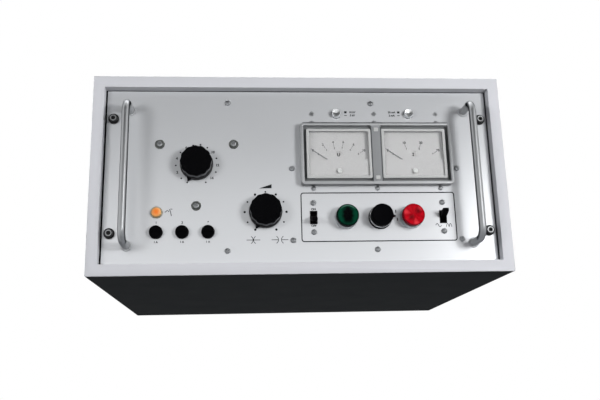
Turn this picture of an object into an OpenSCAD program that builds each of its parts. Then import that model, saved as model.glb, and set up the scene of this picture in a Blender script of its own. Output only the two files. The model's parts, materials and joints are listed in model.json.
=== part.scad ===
// High-voltage withstand tester in a desk-top case, front panel facing -Y, all sizes in millimetres.
// The origin is the centre of the flat underside of the case. X runs to the right of the panel and Z runs up.

/* [Case] */
// Depth of the case
case_d = 437; // [420:1:520]
// Thickness of the sleeve's walls
case_wall = 2; // [1.5:0.1:3]
// Radius of the long outer edges
corner_r = 1; // [0.5:0.5:4]
// Width of the fold that carries the rear panel
rear_fold_w = 16; // [14:0.5:22]
// Thickness of that fold
rear_fold_t = 3; // [2:0.5:5]
// Thickness of the rear panel
rear_t = 2.5; // [2:0.1:4]
// How far the rear panel sits inside the sleeve
rear_inset = 2; // [1:0.5:2.5]

/* [Front frame] */
// Width of the frame's sides
frame_side = 13.5; // [10:0.1:20]
// Width of the frame's top and bottom
frame_bar = 14.2; // [10:0.1:20]
// Gap between the panel's sides and the frame
gap_beside = 2.2; // [0.5:0.1:4]
// Gap between the panel's top and bottom and the frame
gap_above = 1.05; // [0.3:0.05:3]
// Thickness of the lip in front of the sleeve
lip_t = 3; // [2:0.5:4]
// Depth from the frame's face to the panel
recess = 12; // [9:0.5:16]
// Thickness of the ears that take the rack screws
ear_t = 6; // [5:0.5:10]

/* [Front panel] */
// Width of the panel
panel_w = 482.6; // [478:0.2:540]
// Height of the panel
panel_h = 221.5; // [219:0.1:260]
// Thickness of the panel
panel_t = 3; // [2.5:0.1:4]
// Distance of the rack screws from the panel's sides
rack_edge_x = 8.75; // [7.5:0.05:10]
// Distance of the rack screws from the panel's top and bottom
rack_edge_z = 37.725; // [30:0.005:50]

/* [Handles] */
// Diameter of the bar
handle_d = 9; // [8:0.5:11]
// Distance between the feet of one handle
handle_pitch = 172; // [150:1:176]
// Height of the bar's centre line above the panel
handle_reach = 38; // [32:0.5:46]
// Radius of the bends at the centre line
handle_bend = 14; // [10:0.5:18]
// Distance of each handle from the panel's centre line
handle_x = 212.3; // [208:0.1:213]
// Diameter of the bolts in the handle's feet
handle_bolt_d = 5; // [4:0.5:6]

/* [Meters] */
// Width of the bezel
bezel_w = 191.6; // [190:0.1:193]
// Height of the bezel
bezel_h = 81; // [79:0.5:82]
// How far the bezel stands out of the panel
bezel_out = 10.5; // [9.5:0.5:14]
// Width of the bezel's rim
bezel_rim = 3.7; // [3:0.1:4.2]
// Radius of the bezel's corners
bezel_r = 5; // [4.5:0.5:7]
// Width of one window
window_w = 81.6; // [80:0.1:82]
// Height of one window
window_h = 64.7; // [63:0.1:65.5]
// Thickness of a window
window_t = 2; // [1.5:0.1:2.4]
// Distance between the centres of the two cells
cell_pitch = 95.2; // [95:0.1:96]
// Length of a pointer from its pivot to its tip
pointer_l = 42.9; // [38:0.1:44]
// Angle of a pointer at zero, to the left of straight up
pointer_zero = 55; // [50:1:56]
// Diameter of a zero screw's head
zero_d = 6.2; // [5:0.1:7]

/* [Large knobs] */
// Diameter of the fluted cap
cap_d = 38.5; // [36:0.5:40]
// Height of the knob's face above the panel
knob_out = 19.5; // [17:0.5:24]
// Diameter of the skirt
skirt_d = 41; // [40.5:0.5:42]
// Thickness of the skirt
skirt_t = 4; // [3:0.5:6]
// Number of flutes around the cap
flutes = 12; // [10:1:16]
// Distance of the pointer nose's tip from the axis
nose_reach = 24.6; // [23:0.2:25]
// Diameter of the voltage knob's shaft
voltage_shaft_d = 8; // [6:0.5:10]
// Diameter of the gap knob's shaft
gap_shaft_d = 6; // [5:0.5:7]
// Angle of the voltage knob at zero, clockwise from straight up
voltage_zero = 206; // [200:1:210]
// Angle of the gap knob at zero, clockwise from straight up
gap_zero = 210; // [200:1:215]

/* [Buttons and selector] */
// Diameter of the barrels behind the panel
barrel_d = 22; // [21:0.5:24]
// Diameter of the rings in front of the panel
ring_d = 29.4; // [28.5:0.2:31]
// Diameter of the green and red lenses
lens_d = 27.4; // [26:0.2:28.4]
// Height of a lens above the panel
lens_out = 17; // [16:0.5:20]
// Travel of the green and red buttons
button_travel = 4; // [3:0.5:4.5]
// Diameter of the selector's cap
selector_d = 27; // [25:0.5:28]
// Height of the selector's face above the panel
selector_out = 19; // [17:0.5:22]
// Diameter of the selector's stem
selector_stem_d = 6; // [5:0.5:8]
// Diameter of a range button
range_d = 11.2; // [10:0.2:12]
// How far a range button stands out
range_out = 6.5; // [6:0.5:9]
// Travel of a range button
range_travel = 4; // [3:0.5:4.5]

/* [Lever switches] */
// Width of the collar in the panel
collar_w = 9; // [8.5:0.1:10]
// Height of the collar in the panel
collar_h = 16.6; // [16:0.1:18]
// Width of a lever
lever_w = 6.6; // [6:0.1:7]
// Thickness of a lever at its root
lever_t = 6; // [5:0.2:6.4]
// How far a lever's tip lies from its pivot
lever_l = 22.5; // [17:0.5:25]
// Tilt of a lever to either side of straight out
lever_tilt = 15; // [12:1:16]

/* [Lamp and fuses] */
// Diameter of the lamp's lens
lamp_d = 11.6; // [10:0.2:12]
// Diameter of a fuse cap
fuse_cap_d = 15.6; // [14:0.2:17]
// Distance between two fuse caps
fuse_pitch = 31.2; // [26:0.2:34]

/* [Inside] */
// Diameter of the variable transformer's base
base_d = 120; // [116:1:121]
// Thickness of that base
base_t = 5; // [4:0.5:8]
// Outer diameter of the toroid winding
toroid_d = 116; // [110:1:118]
// Diameter of the hole in the toroid winding
toroid_hole = 62; // [50:1:66]
// Length of the toroid winding along its axis
toroid_l = 45; // [35:1:55]
// Diameter of the spark gap's balls
ball_d = 18; // [14:0.5:22]
// Widest opening of the spark gap
gap_travel = 10; // [6:0.5:12]
// Width of the chassis tray
tray_w = 400; // [380:1:402]
// Length of the chassis tray behind the panel
tray_l = 330; // [320:1:350]
// Thickness of the tray's sheet
tray_t = 2; // [1.5:0.1:3]

/* [Hidden] */
$fn = 64;
// Radial room of a shaft that turns or slides in its bore
run = 0.05;
// Radial room of a fixed round piece in its hole
slip = 0.15;
// Radial room of a plunger or stem that slides or swings in its hole
glide = 0.3;
// Air between a moving piece and a fixed one
air = 0.5;
// Extra length of a cut past the face that it opens
cut = 1;

// Overall sizes
open_w = panel_w + 2 * gap_beside;
open_h = panel_h + 2 * gap_above;
case_w = open_w + 2 * frame_side;
case_h = open_h + 2 * frame_bar;

// Places along the depth
front_y = -case_d / 2;
rear_end = case_d / 2;
sleeve_y = front_y + lip_t;
panel_y = front_y + recess;
panel_back = panel_y + panel_t;
ear_back = panel_back + ear_t;
rear_face = rear_end - rear_inset;
seat_y = rear_face - rear_t;
panel_z = case_h / 2;

// Places on the panel, from its centre
rack_x = panel_w / 2 - rack_edge_x;
rack_z = panel_h / 2 - rack_edge_z;
handle_z = -2;
meter_x = 95.2;
meter_z = 25.6;
meter_column = 80.2;
stud_z = bezel_h / 2 + 3;
row_z = 81.3;
voltage_at = [-129.6, 13.8];
gap_at = [-45, -47.2];
selector_at = [96.6, -55.3];
green_at = [54.4, -55.3];
red_at = [135.6, -55.3];
range_at = [[46.3, 80.8], [140, 80.8]];
mains_at = [14, -54.6];
wave_at = [176, -54.6];
lamp_at = [-177.4, -47.2];
fuse_at = [for (i = [0:2]) [lamp_at[0] + i * fuse_pitch, -71.7]];
chassis_screw_x = 91.5;
chassis_screw_z = 95.3;
switch_screw_z = 18.4;
plate_screws = [[-11.6, 8.4], [198, 8.4], [-11.6, -83], [198, -83]];
chassis_screws = [for (x = [-1, 1], z = [-1, 1]) [x * chassis_screw_x, z * chassis_screw_z]];
switch_screws = [for (p = [mains_at, wave_at], z = [-1, 1]) [p[0], p[1] + z * switch_screw_z]];
pan_screws = concat(plate_screws, chassis_screws, switch_screws);
row_screws = [for (i = [-1:1]) [meter_x + i * meter_column, row_z]];
studs = [for (i = [-1:1], z = [-1, 1]) [meter_x + i * meter_column, meter_z + z * stud_z]];
setter_pcd = 105.6;
setter_screws_at = [for (a = [30, 150, 270]) voltage_at + setter_pcd / 2 * [cos(a), sin(a)]];
racks = [for (x = [-1, 1], z = [-1, 1]) [x * rack_x, z * rack_z]];
handle_feet = [for (x = [-1, 1], z = [-1, 1]) [x * handle_x, handle_z + z * handle_pitch / 2]];

// Fasteners
rack_d = 6;
rack_head_d = 10;
rack_head_h = 6;
cup_d = 13;
cup_h = 3.6;
cup_floor = 1;
pan_d = 4;
pan_head_d = 7;
pan_head_h = 2.4;
pan_l = 8;
stud_d = 3;
stud_head_d = 5.6;
row_d = 3;
row_head_d = 5.8;
row_l = 9;
setter_d = 4;
setter_head_d = 7.4;
finish_d = 12;
finish_h = 2.4;
rear_screw_d = 4;
rear_screw_l = 9;
cross_w = 0.9;
foot_d = 13;
foot_t = 1.6;
handle_bore_l = 16;
handle_bolt_l = 13;
handle_head_h = 3.5;
handle_head_d = handle_bolt_d + 3.5;

// Meter stack, heights from the panel's face
housing_w = cell_pitch + window_w + 0.8;
housing_h = window_h + 1.3;
housing_out = 6;
shoulder_out = 4;
housing_back = 48;
housing_wall = 2.4;
flange_w = 2 * meter_column + 18;
flange_h = 2 * stud_z + 9;
flange_t = 3;
cell_w = window_w - 3.6;
cell_h = window_h - 3.7;
dial_ledge = 4;
dial_seat = 1.2;
dial_t = 0.8;
mask_t = 0.8;
mask_drop = 7.2;
pivot_drop = 16.7;
pivot_d = 3;
pivot_hub_d = 7;
pointer_low = dial_seat + dial_t + 0.8;
pointer_t = 1.2;
zero_drop = 22.8;
zero_shank_d = 3.6;

// Knobs, buttons and switches, heights from the panel's face
bush_d = voltage_shaft_d + 4;
gap_bush_d = gap_shaft_d + 4;
knob_gap = 0.6;
knob_roof = 5;
flute_d = 6.6;
flute_sink = 1.3;
nose_w = 7;
nose_sink = 2;
barrel_l = 42;
ring_h = 5;
plunger_d = barrel_d - 2.6;
plunger_l = 12;
selector_ring_h = 4;
selector_skirt_t = 4;
selector_stem_l = 20;
selector_nose = 17.4;
selector_nose_w = 6;
selector_angle = 94;
range_stem_d = 7;
range_body = 13;
range_body_l = 34;
range_pocket_d = range_d + 2 * air;
range_root = 2;
lever_depth = 5;
lever_pin_d = 2;
lever_root = 4;
lever_slot_w = lever_w + 2 * glide;
lever_slot_h = collar_h - 2;
switch_body_w = 13;
switch_body_h = 28;
switch_body_l = 24;
switch_strip_h = 2 * switch_screw_z + 9;
switch_strip_t = 1.5;
collar_out = 0.6;
lamp_ring_d = lamp_d + 3;
lamp_barrel_d = lamp_d - 1.6;
lamp_ring_h = 2.4;
lamp_floor = 0.8;
fuse_barrel_d = fuse_cap_d - 2.6;
fuse_barrel_l = 46;
fuse_ring_t = 1.4;
fuse_bore_d = 9;
fuse_stem_l = 14;
fuse_cap_out = 6.4;
fuse_d = 5.2;
fuse_l = 20;

// Inside
toroid_back = panel_t + base_t + toroid_l;
brush_l = 9;
brush_w = 10;
brush_arm_t = 4;
brush_hub_d = voltage_shaft_d + 10;
brush_inset = 12;
shaft_end = 3;
shaft_back = toroid_back + brush_l + shaft_end;
bracket_w = 56;
bracket_h = 54;
bracket_wall = 4;
gap_length = 128;
shelf_t = 5;
fixed_ball = 100;
ball_rest_gap = 0.4;
moving_ball = fixed_ball - ball_d - ball_rest_gap;
carriage_front = 36;
carriage_l = 24;
carriage_w = 40;
carriage_top = 12;
gap_shaft_l = 62;
carriage_bore_end = gap_shaft_l + gap_travel + 3;
electrode_stem_d = 12;
tray_top = panel_z - panel_h / 2 + 3;
tray_front_h = panel_h / 2 - chassis_screw_z + 4;
tray_start = ear_back + 2;
tray_end = panel_back + tray_l;
hv_at = [95, 0];
cap_at = [-135, -10];
rectifier_at = [-20, 20];
core_size = [120, 60, 100];
core_leg = 40;
core_window_w = 20;
core_yoke = 19;
coil_room = 0.3;
can_size = [110, 80, 120];
control_w = 150;
control_h = 60;
control_t = 1.6;
relay_w = 28;
relay_h = 20;
relay_l = 16;
relay_step = 44;

// Rear panel
vent_w = 44;
vent_h = 4;
vent_step = 9;
vent_rows = 9;
vent_x = [-60, 0];
inlet_edge = 77;
inlet_at = [-case_w / 2 + inlet_edge, -70];
inlet_w = 48;
inlet_h = 26;
inlet_body_w = 28;
inlet_body_h = 21;
inlet_well_w = 24;
inlet_well_h = 17;
inlet_well_l = 16;
inlet_l = 26;
inlet_flange_t = 1.8;
socket_at = [130, 40];
socket_flange_d = 46;
socket_d = 36;
socket_bore_d = 16;
socket_bore_l = 60;
socket_l = 75;
earth_edge = 62;
earth_at = [case_w / 2 - earth_edge, -70];
earth_flange_d = 20;
earth_d = 14;
earth_bore_d = 6;
earth_bore_l = 20;
earth_l = 30;
rear_flange_t = 1.8;
rear_screws_at = [for (x = [-1, 0, 1], z = [-1, 1])
    [x * (case_w / 2 - case_wall - rear_fold_w / 2), z * (case_h / 2 - case_wall - rear_fold_w / 2)]];

// Frames of reference

// A place on the panel's face: children's Z points out of the panel and their Y points up
module on_panel(at) {
    translate([at[0], panel_y, panel_z + at[1]]) rotate([90, 0, 0]) children();
}

// A place on the rear panel's face: children's Z points out of the rear and their Y points down
module on_rear(at) {
    translate([at[0], rear_face, panel_z + at[1]]) rotate([-90, 0, 0]) children();
}

// A flat outline around the case's long axis, from one depth to another
module slab(from, to) {
    translate([0, to, panel_z]) rotate([90, 0, 0]) linear_extrude(to - from) children();
}

// Shapes that repeat

module rounded(w, h, r) {
    square([w - 2 * r, h], center = true);
    square([w, h - 2 * r], center = true);
    for (x = [-1, 1], y = [-1, 1]) translate([x * (w / 2 - r), y * (h / 2 - r)]) circle(r);
}

module rod(d, from, to) {
    translate([0, 0, from]) cylinder(d = d, h = to - from);
}

module block(w, h, from, to) {
    translate([-w / 2, -h / 2, from]) cube([w, h, to - from]);
}

// A pan-head screw with a cross slot, its head above zero
module pan_screw(d, head_d, head_h, l) {
    difference() {
        union() {
            rod(head_d, 0, head_h);
            rod(d, -l, head_h / 2);
        }
        for (a = [0, 90]) rotate(a + 45) block(head_d * 0.62, cross_w, head_h / 2, head_h + cut);
    }
}

// A large knob: fluted cap, skirt and pointer nose, turned clockwise from straight up
module large_knob(shaft_d, turn) {
    skirt_top = knob_gap + skirt_t;
    nose_root = cap_d / 2 - nose_sink;
    rotate(-turn) difference() {
        union() {
            rod(skirt_d, knob_gap, skirt_top);
            rod(cap_d, knob_gap, knob_out);
            translate([0, 0, knob_gap]) linear_extrude(skirt_t)
                polygon([[-nose_w / 2, nose_root], [nose_w / 2, nose_root], [0, nose_reach]]);
        }
        for (i = [0:flutes - 1]) rotate((i + 0.5) * 360 / flutes)
            translate([(cap_d + flute_d) / 2 - flute_sink, 0, 0]) rod(flute_d, skirt_top, knob_out + cut);
        rod(shaft_d + 2 * slip, knob_gap - cut, knob_out - knob_roof + air);
    }
}

// A paddle lever at its pivot, with its tip up or down
module paddle(side) {
    tip_t = lever_t - 1.2;
    translate([0, 0, -lever_depth]) rotate([side * -lever_tilt, 0, 0]) difference() {
        translate([-lever_w / 2, 0, 0]) rotate([90, 0, 90]) linear_extrude(lever_w) union() {
            polygon([[-lever_t / 2, -lever_root + lever_t / 2], [lever_t / 2, -lever_root + lever_t / 2],
                [lever_t / 2, lever_l * 0.6], [tip_t / 2, lever_l - tip_t / 2], [-tip_t / 2, lever_l - tip_t / 2],
                [-lever_t / 2, lever_l * 0.6]]);
            translate([0, lever_l - tip_t / 2]) circle(d = tip_t);
            translate([0, -lever_root + lever_t / 2]) circle(d = lever_t);
        }
        rotate([0, 90, 0]) cylinder(d = lever_pin_d + 2 * run, h = lever_w + 2 * cut, center = true);
    }
}

// An illuminated push button's lens and plunger
module push_lens() {
    lens_low = ring_h + button_travel + air;
    rod(lens_d, lens_low, lens_out);
    rod(plunger_d - 2 * glide, -plunger_l, lens_low + cut);
}

module range_button() {
    rod(range_d, -range_root, range_out);
    rod(range_stem_d, -range_body_l + range_pocket_l() + range_travel + panel_t, -range_root + cut);
}

function range_pocket_l() = panel_t + range_root + range_travel + 1;

// A fuse cap with a coin slot and a stem
module fuse_cap() {
    cap_low = fuse_ring_t + air;
    difference() {
        rod(fuse_cap_d, cap_low, fuse_cap_out);
        block(fuse_cap_d * 0.7, 1.4, fuse_cap_out - 1.2, fuse_cap_out + cut);
    }
    rod(fuse_bore_d - 2 * glide, -fuse_stem_l, cap_low + cut);
}

// A pointer on its hub, turned to zero
module pointer() {
    arm_root = (pivot_d + pivot_hub_d) / 4;
    difference() {
        union() {
            rod(pivot_hub_d, pointer_low, pointer_low + pointer_t);
            rotate(pointer_zero) translate([0, 0, pointer_low + pointer_t / 4]) linear_extrude(pointer_t / 2)
                polygon([[-0.8, arm_root], [0.8, arm_root], [0.25, pointer_l], [-0.25, pointer_l]]);
        }
        rod(pivot_d + 2 * run, pointer_low - cut, pointer_low + pointer_t + cut);
    }
}

module zero_screw() {
    head_low = housing_out + window_t + 0.1;
    difference() {
        rod(zero_d, head_low, head_low + 1.2);
        block(zero_d + cut, 0.8, head_low + 0.6, head_low + 1.2 + cut);
    }
    rod(zero_shank_d, housing_out + 0.3, head_low + 0.2);
}

// A carrying handle, standing on the panel
module handle() {
    half = handle_pitch / 2;
    difference() {
        union() {
            for (side = [0, 1]) mirror([0, side, 0]) {
                translate([0, half, 0]) rod(handle_d, 0, handle_reach - handle_bend);
                translate([0, half, 0]) rod(foot_d, 0, foot_t);
                translate([0, half - handle_bend, handle_reach - handle_bend]) rotate([90, 0, 90])
                    rotate_extrude(angle = 90) translate([handle_bend, 0]) circle(d = handle_d);
            }
            translate([0, half - handle_bend, handle_reach]) rotate([90, 0, 0])
                cylinder(d = handle_d, h = handle_pitch - 2 * handle_bend);
        }
        for (y = [-half, half]) translate([0, y, 0]) rod(handle_bolt_d + 2 * slip, -cut, handle_bore_l);
    }
}

// The two meter cells
module each_cell() {
    for (i = [-1, 1]) on_panel([meter_x + i * cell_pitch / 2, meter_z]) children();
}

module cell(i) {
    on_panel([meter_x + i * cell_pitch / 2, meter_z]) children();
}

// Case

module case_shell() {
    inner_w = case_w - 2 * case_wall;
    inner_h = case_h - 2 * case_wall;
    color("#1c1f22") difference() {
        slab(sleeve_y, rear_end) rounded(case_w, case_h, corner_r);
        slab(sleeve_y - cut, seat_y - rear_fold_t) square([inner_w, inner_h], center = true);
        slab(sleeve_y, seat_y + cut)
            square([inner_w - 2 * rear_fold_w, inner_h - 2 * rear_fold_w], center = true);
        slab(seat_y, rear_end + cut) square([inner_w, inner_h], center = true);
        for (p = rear_screws_at) on_rear(p)
            rod(rear_screw_d + 2 * slip, -rear_t - rear_fold_t - cut, 0);
    }
}

module front_frame() {
    spigot_room = 0.3;
    ear_edge = 9;
    spigot_w = case_w - 2 * case_wall - 2 * spigot_room;
    spigot_h = case_h - 2 * case_wall - 2 * spigot_room;
    color("#d2d5d9") difference() {
        union() {
            slab(front_y, sleeve_y) rounded(case_w, case_h, corner_r);
            slab(sleeve_y - cut, ear_back) square([spigot_w, spigot_h], center = true);
        }
        slab(front_y - cut, panel_back) square([open_w, open_h], center = true);
        slab(panel_back - cut, ear_back + cut) square([2 * (rack_x - ear_edge), open_h], center = true);
        for (p = racks) on_panel(p) rod(rack_d + 2 * slip, -panel_t - ear_t - cut, 0);
        handle_head_room();
    }
}

module rear_panel() {
    edge_room = 0.3;
    w = case_w - 2 * case_wall - 2 * edge_room;
    h = case_h - 2 * case_wall - 2 * edge_room;
    color("#26292c") difference() {
        slab(seat_y, rear_face) square([w, h], center = true);
        for (p = rear_screws_at) on_rear(p) rod(rear_screw_d + 2 * slip, -rear_t - cut, cut);
        for (x = vent_x, i = [0:vent_rows - 1])
            on_rear([x, (i - (vent_rows - 1) / 2) * vent_step]) block(vent_w, vent_h, -rear_t - cut, cut);
        on_rear(inlet_at)
            block(inlet_body_w + 2 * slip, inlet_body_h + 2 * slip, -rear_t - cut, cut);
        on_rear(socket_at) rod(socket_d + 2 * slip, -rear_t - cut, cut);
        on_rear(earth_at) rod(earth_d + 2 * slip, -rear_t - cut, cut);
    }
}

module rear_screws() {
    color("#8b8f93") for (p = rear_screws_at) on_rear(p)
        pan_screw(rear_screw_d, pan_head_d, rear_inset, rear_screw_l);
}

// Front panel and its fixings

module front_panel() {
    color("#bcc0c4") difference() {
        slab(panel_y, panel_back) square([panel_w, panel_h], center = true);
        for (p = racks) on_panel(p) rod(rack_d + 1, -panel_t - cut, cut);
        for (p = pan_screws) on_panel(p) rod(pan_d + 2 * slip, -panel_t - cut, cut);
        for (p = studs) on_panel(p) rod(stud_d + 2 * slip, -panel_t - cut, cut);
        for (p = row_screws) on_panel(p) {
            rod(row_d + 2 * slip, -panel_t - cut, cut);
            row_cone(slip);
        }
        for (p = setter_screws_at) on_panel(p) rod(setter_d + 2 * slip, -panel_t - cut, cut);
        for (p = handle_feet) on_panel(p) rod(handle_bolt_d + 2 * slip, -panel_t - cut, cut);
        on_panel([meter_x, meter_z])
            block(housing_w + 2 * slip, housing_h + 2 * slip, -panel_t - cut, cut);
        on_panel(voltage_at) rod(bush_d + 2 * slip, -panel_t - cut, cut);
        on_panel(gap_at) rod(gap_bush_d + 2 * slip, -panel_t - cut, cut);
        for (p = [selector_at, green_at, red_at]) on_panel(p) rod(barrel_d + 2 * slip, -panel_t - cut, cut);
        for (p = range_at) on_panel(p) rod(range_d + 2 * air, -panel_t - cut, cut);
        for (p = [mains_at, wave_at]) on_panel(p)
            block(collar_w + 2 * slip, collar_h + 2 * slip, -panel_t - cut, cut);
        on_panel(lamp_at) rod(lamp_barrel_d + 2 * slip, -panel_t - cut, cut);
        for (p = fuse_at) on_panel(p) rod(fuse_barrel_d + 2 * slip, -panel_t - cut, cut);
    }
}

// The countersink of a row screw, wider by some room
module row_cone(room) {
    depth = (row_head_d - row_d) / 2;
    translate([0, 0, -depth]) cylinder(d1 = row_d + 2 * room, d2 = row_head_d + 2 * room, h = depth);
}

module rack_screws() {
    socket_across = 5;
    color("#c9ccd0") for (p = racks) on_panel(p) difference() {
        union() {
            rod(rack_head_d, cup_floor, cup_floor + rack_head_h);
            rod(rack_d, -panel_t - ear_t - 3, cup_floor + cut);
        }
        translate([0, 0, cup_floor + rack_head_h / 2])
            cylinder(d = socket_across / cos(30), h = rack_head_h, $fn = 6);
    }
}

module cup_washers() {
    color("#15161a") for (p = racks) on_panel(p) difference() {
        rod(cup_d, 0, cup_h);
        rod(rack_head_d + 2 * slip, cup_floor, cup_h + cut);
        rod(rack_d + 2 * slip, -cut, cup_h);
    }
}

module panel_screws() {
    color("#a4a8ac") for (p = pan_screws) on_panel(p) pan_screw(pan_d, pan_head_d, pan_head_h, pan_l);
}

module countersunk_screws() {
    color("#a4a8ac") for (p = row_screws) on_panel(p) difference() {
        union() {
            row_cone(0);
            rod(row_d, -row_l, -0.5);
        }
        for (a = [0, 90]) rotate(a) block(row_d, 0.6, -0.8, cut);
    }
}

module meter_studs() {
    stud_l = panel_t + flange_t + 4;
    color("#b4b8bc") for (p = studs) on_panel(p) {
        rod(stud_head_d, 0, 2.2);
        rod(stud_d, -stud_l, cut);
    }
}

module setter_screws() {
    hole_r = setter_d / 2;
    seat_r = setter_head_d / 2;
    color("#9a9e98") for (p = setter_screws_at) on_panel(p) difference() {
        union() {
            translate([0, 0, finish_h - seat_r + hole_r])
                cylinder(r1 = hole_r, r2 = seat_r, h = seat_r - hole_r);
            rod(setter_head_d, finish_h, finish_h + 0.5);
            rod(setter_d, -panel_t - base_t, finish_h);
        }
        for (a = [0, 90]) rotate(a + 20) block(setter_head_d * 0.6, cross_w, finish_h - 0.8, finish_h + cut);
    }
}

module finishing_washers() {
    hole_r = setter_d / 2 + slip;
    seat_r = setter_head_d / 2 + slip;
    color("#8f938c") for (p = setter_screws_at) on_panel(p) rotate_extrude()
        polygon([[hole_r, 0], [finish_d / 2, 0], [finish_d / 2, 0.5], [seat_r + 0.5, finish_h], [seat_r, finish_h],
            [hole_r, finish_h - seat_r + hole_r]]);
}

module handle_left() {
    color("#cfd2d5") on_panel([-handle_x, handle_z]) handle();
}

module handle_right() {
    color("#cfd2d5") on_panel([handle_x, handle_z]) handle();
}

module handle_bolts() {
    color("#8b8f93") for (p = handle_feet) on_panel(p) {
        rod(handle_bolt_d, -panel_t - cut, handle_bolt_l);
        rod(handle_head_d, -panel_t - handle_head_h, -panel_t);
    }
}

// Room behind the panel for the heads of the handle bolts
module handle_head_room() {
    for (p = handle_feet) on_panel(p) rod(handle_head_d + 2 * air, -panel_t - ear_t - cut, -panel_t + cut);
}

// Twin meter

module meter_bezel() {
    bar_w = cell_pitch - window_w - 0.2;
    inner_w = bezel_w - 2 * bezel_rim;
    inner_h = bezel_h - 2 * bezel_rim;
    color("#c4c7ca") on_panel([meter_x, meter_z]) {
        linear_extrude(bezel_out) difference() {
            rounded(bezel_w, bezel_h, bezel_r);
            rounded(inner_w, inner_h, bezel_r - bezel_rim);
        }
        block(bar_w, inner_h + cut, housing_out, housing_out + 2.4);
    }
}

module meter_housing() {
    shoulder_w = bezel_w - 2 * bezel_rim - 2 * slip;
    shoulder_h = bezel_h - 2 * bezel_rim - 2 * slip;
    color("#111214") on_panel([meter_x, meter_z]) difference() {
        union() {
            block(housing_w, housing_h, -housing_back, housing_out);
            linear_extrude(shoulder_out) rounded(shoulder_w, shoulder_h, bezel_r - bezel_rim);
            block(flange_w, flange_h, -panel_t - flange_t, -panel_t);
        }
        for (i = [-1, 1]) translate([i * cell_pitch / 2, 0, 0]) {
            block(cell_w, cell_h, dial_seat, housing_out + cut);
            block(cell_w - 2 * dial_ledge, cell_h - 2 * dial_ledge, -housing_back + housing_wall, dial_seat + cut);
        }
        for (i = [-1:1], z = [-1, 1]) translate([i * meter_column, z * stud_z, 0])
            rod(stud_d + 2 * slip, -panel_t - flange_t - cut, 0);
    }
}

module meter_dials() {
    mask_h = cell_h / 2 - mask_drop;
    color("#e4e4e2") each_cell() {
        difference() {
            block(cell_w - 2 * slip, cell_h - 2 * slip, dial_seat, dial_seat + dial_t);
            translate([0, -pivot_drop, 0]) rod(pivot_d + 2 * air, 0, dial_seat + dial_t + cut);
        }
        translate([0, -mask_drop - mask_h / 2, 0])
            block(cell_w - 2 * slip, mask_h - 2 * slip, housing_out - mask_t, housing_out);
    }
}

module meter_windows() {
    color("#e8eef2", 0.4) each_cell() difference() {
        block(window_w, window_h, housing_out, housing_out + window_t);
        translate([0, -zero_drop, 0]) rod(zero_shank_d + 2 * run, housing_out - cut, housing_out + window_t + cut);
    }
}

module meter_movements() {
    magnet_w = 38;
    magnet_h = 18;
    magnet_top = 6;
    color("#5c6064") each_cell() translate([0, -pivot_drop, 0]) {
        block(magnet_w, magnet_h, -housing_back + housing_wall, -magnet_top);
        rod(pivot_d, -magnet_top - cut, pointer_low + pointer_t + 0.3);
        rod(pivot_hub_d, -magnet_top - cut, -2);
    }
}

module pointer_left() {
    color("#202224") cell(-1) translate([0, -pivot_drop, 0]) pointer();
}

module pointer_right() {
    color("#202224") cell(1) translate([0, -pivot_drop, 0]) pointer();
}

module zero_screw_left() {
    color("#eef0f0") cell(-1) translate([0, -zero_drop, 0]) zero_screw();
}

module zero_screw_right() {
    color("#eef0f0") cell(1) translate([0, -zero_drop, 0]) zero_screw();
}

// Voltage setter: knob, shaft and variable transformer

module voltage_knob() {
    color("#08080a") on_panel(voltage_at) large_knob(voltage_shaft_d, voltage_zero);
}

module voltage_shaft() {
    color("#b0b3b6") on_panel(voltage_at) rod(voltage_shaft_d, -shaft_back, knob_out - knob_roof);
}

module brush_arm() {
    arm_l = toroid_d / 2 - brush_inset;
    arm_back = toroid_back + brush_l;
    color("#a07a3c") on_panel(voltage_at) rotate(-voltage_zero) difference() {
        union() {
            rod(brush_hub_d, -arm_back, -toroid_back - air);
            translate([-brush_w / 2, 0, -arm_back]) cube([brush_w, arm_l, brush_arm_t]);
            translate([-brush_w / 2, arm_l - brush_w, -arm_back])
                cube([brush_w, brush_w, brush_l - air]);
        }
        rod(voltage_shaft_d + 2 * slip, -arm_back - cut, -toroid_back + cut);
    }
}

module variac_base() {
    hub_d = voltage_shaft_d + 16;
    hub_l = 20;
    color("#6a6e72") difference() {
        on_panel(voltage_at) union() {
            rod(base_d, -panel_t - base_t, -panel_t);
            rod(hub_d, -panel_t - base_t - hub_l, -panel_t - base_t + cut);
            rod(bush_d, -panel_t - cut, -air);
        }
        on_panel(voltage_at) rod(voltage_shaft_d + 2 * run, -panel_t - base_t - hub_l - cut, 0);
        for (p = setter_screws_at) on_panel(p) rod(setter_d + 2 * slip, -panel_t - base_t - cut, 0);
    }
}

module variac_winding() {
    color("#8a4b22") on_panel(voltage_at) difference() {
        rod(toroid_d, -toroid_back, -panel_t - base_t);
        rod(toroid_hole, -toroid_back - cut, -panel_t);
    }
}

// Spark gap: knob, shaft, sliding electrode and insulating bracket

module gap_knob() {
    color("#08080a") on_panel(gap_at) large_knob(gap_shaft_d, gap_zero);
}

module gap_shaft() {
    color("#b0b3b6") on_panel(gap_at) rod(gap_shaft_d, -gap_shaft_l, knob_out - knob_roof);
}

module gap_carriage() {
    shelf_top = -bracket_h / 2 + shelf_t;
    color("#b98d3e") on_panel(gap_at) difference() {
        union() {
            translate([-carriage_w / 2, shelf_top, -carriage_front - carriage_l])
                cube([carriage_w, carriage_top - shelf_top, carriage_l]);
            rod(electrode_stem_d, -moving_ball, -carriage_front - cut);
            translate([0, 0, -moving_ball]) sphere(d = ball_d);
        }
        rod(gap_shaft_d + 2 * run, -carriage_bore_end, -carriage_front + cut);
    }
}

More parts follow.
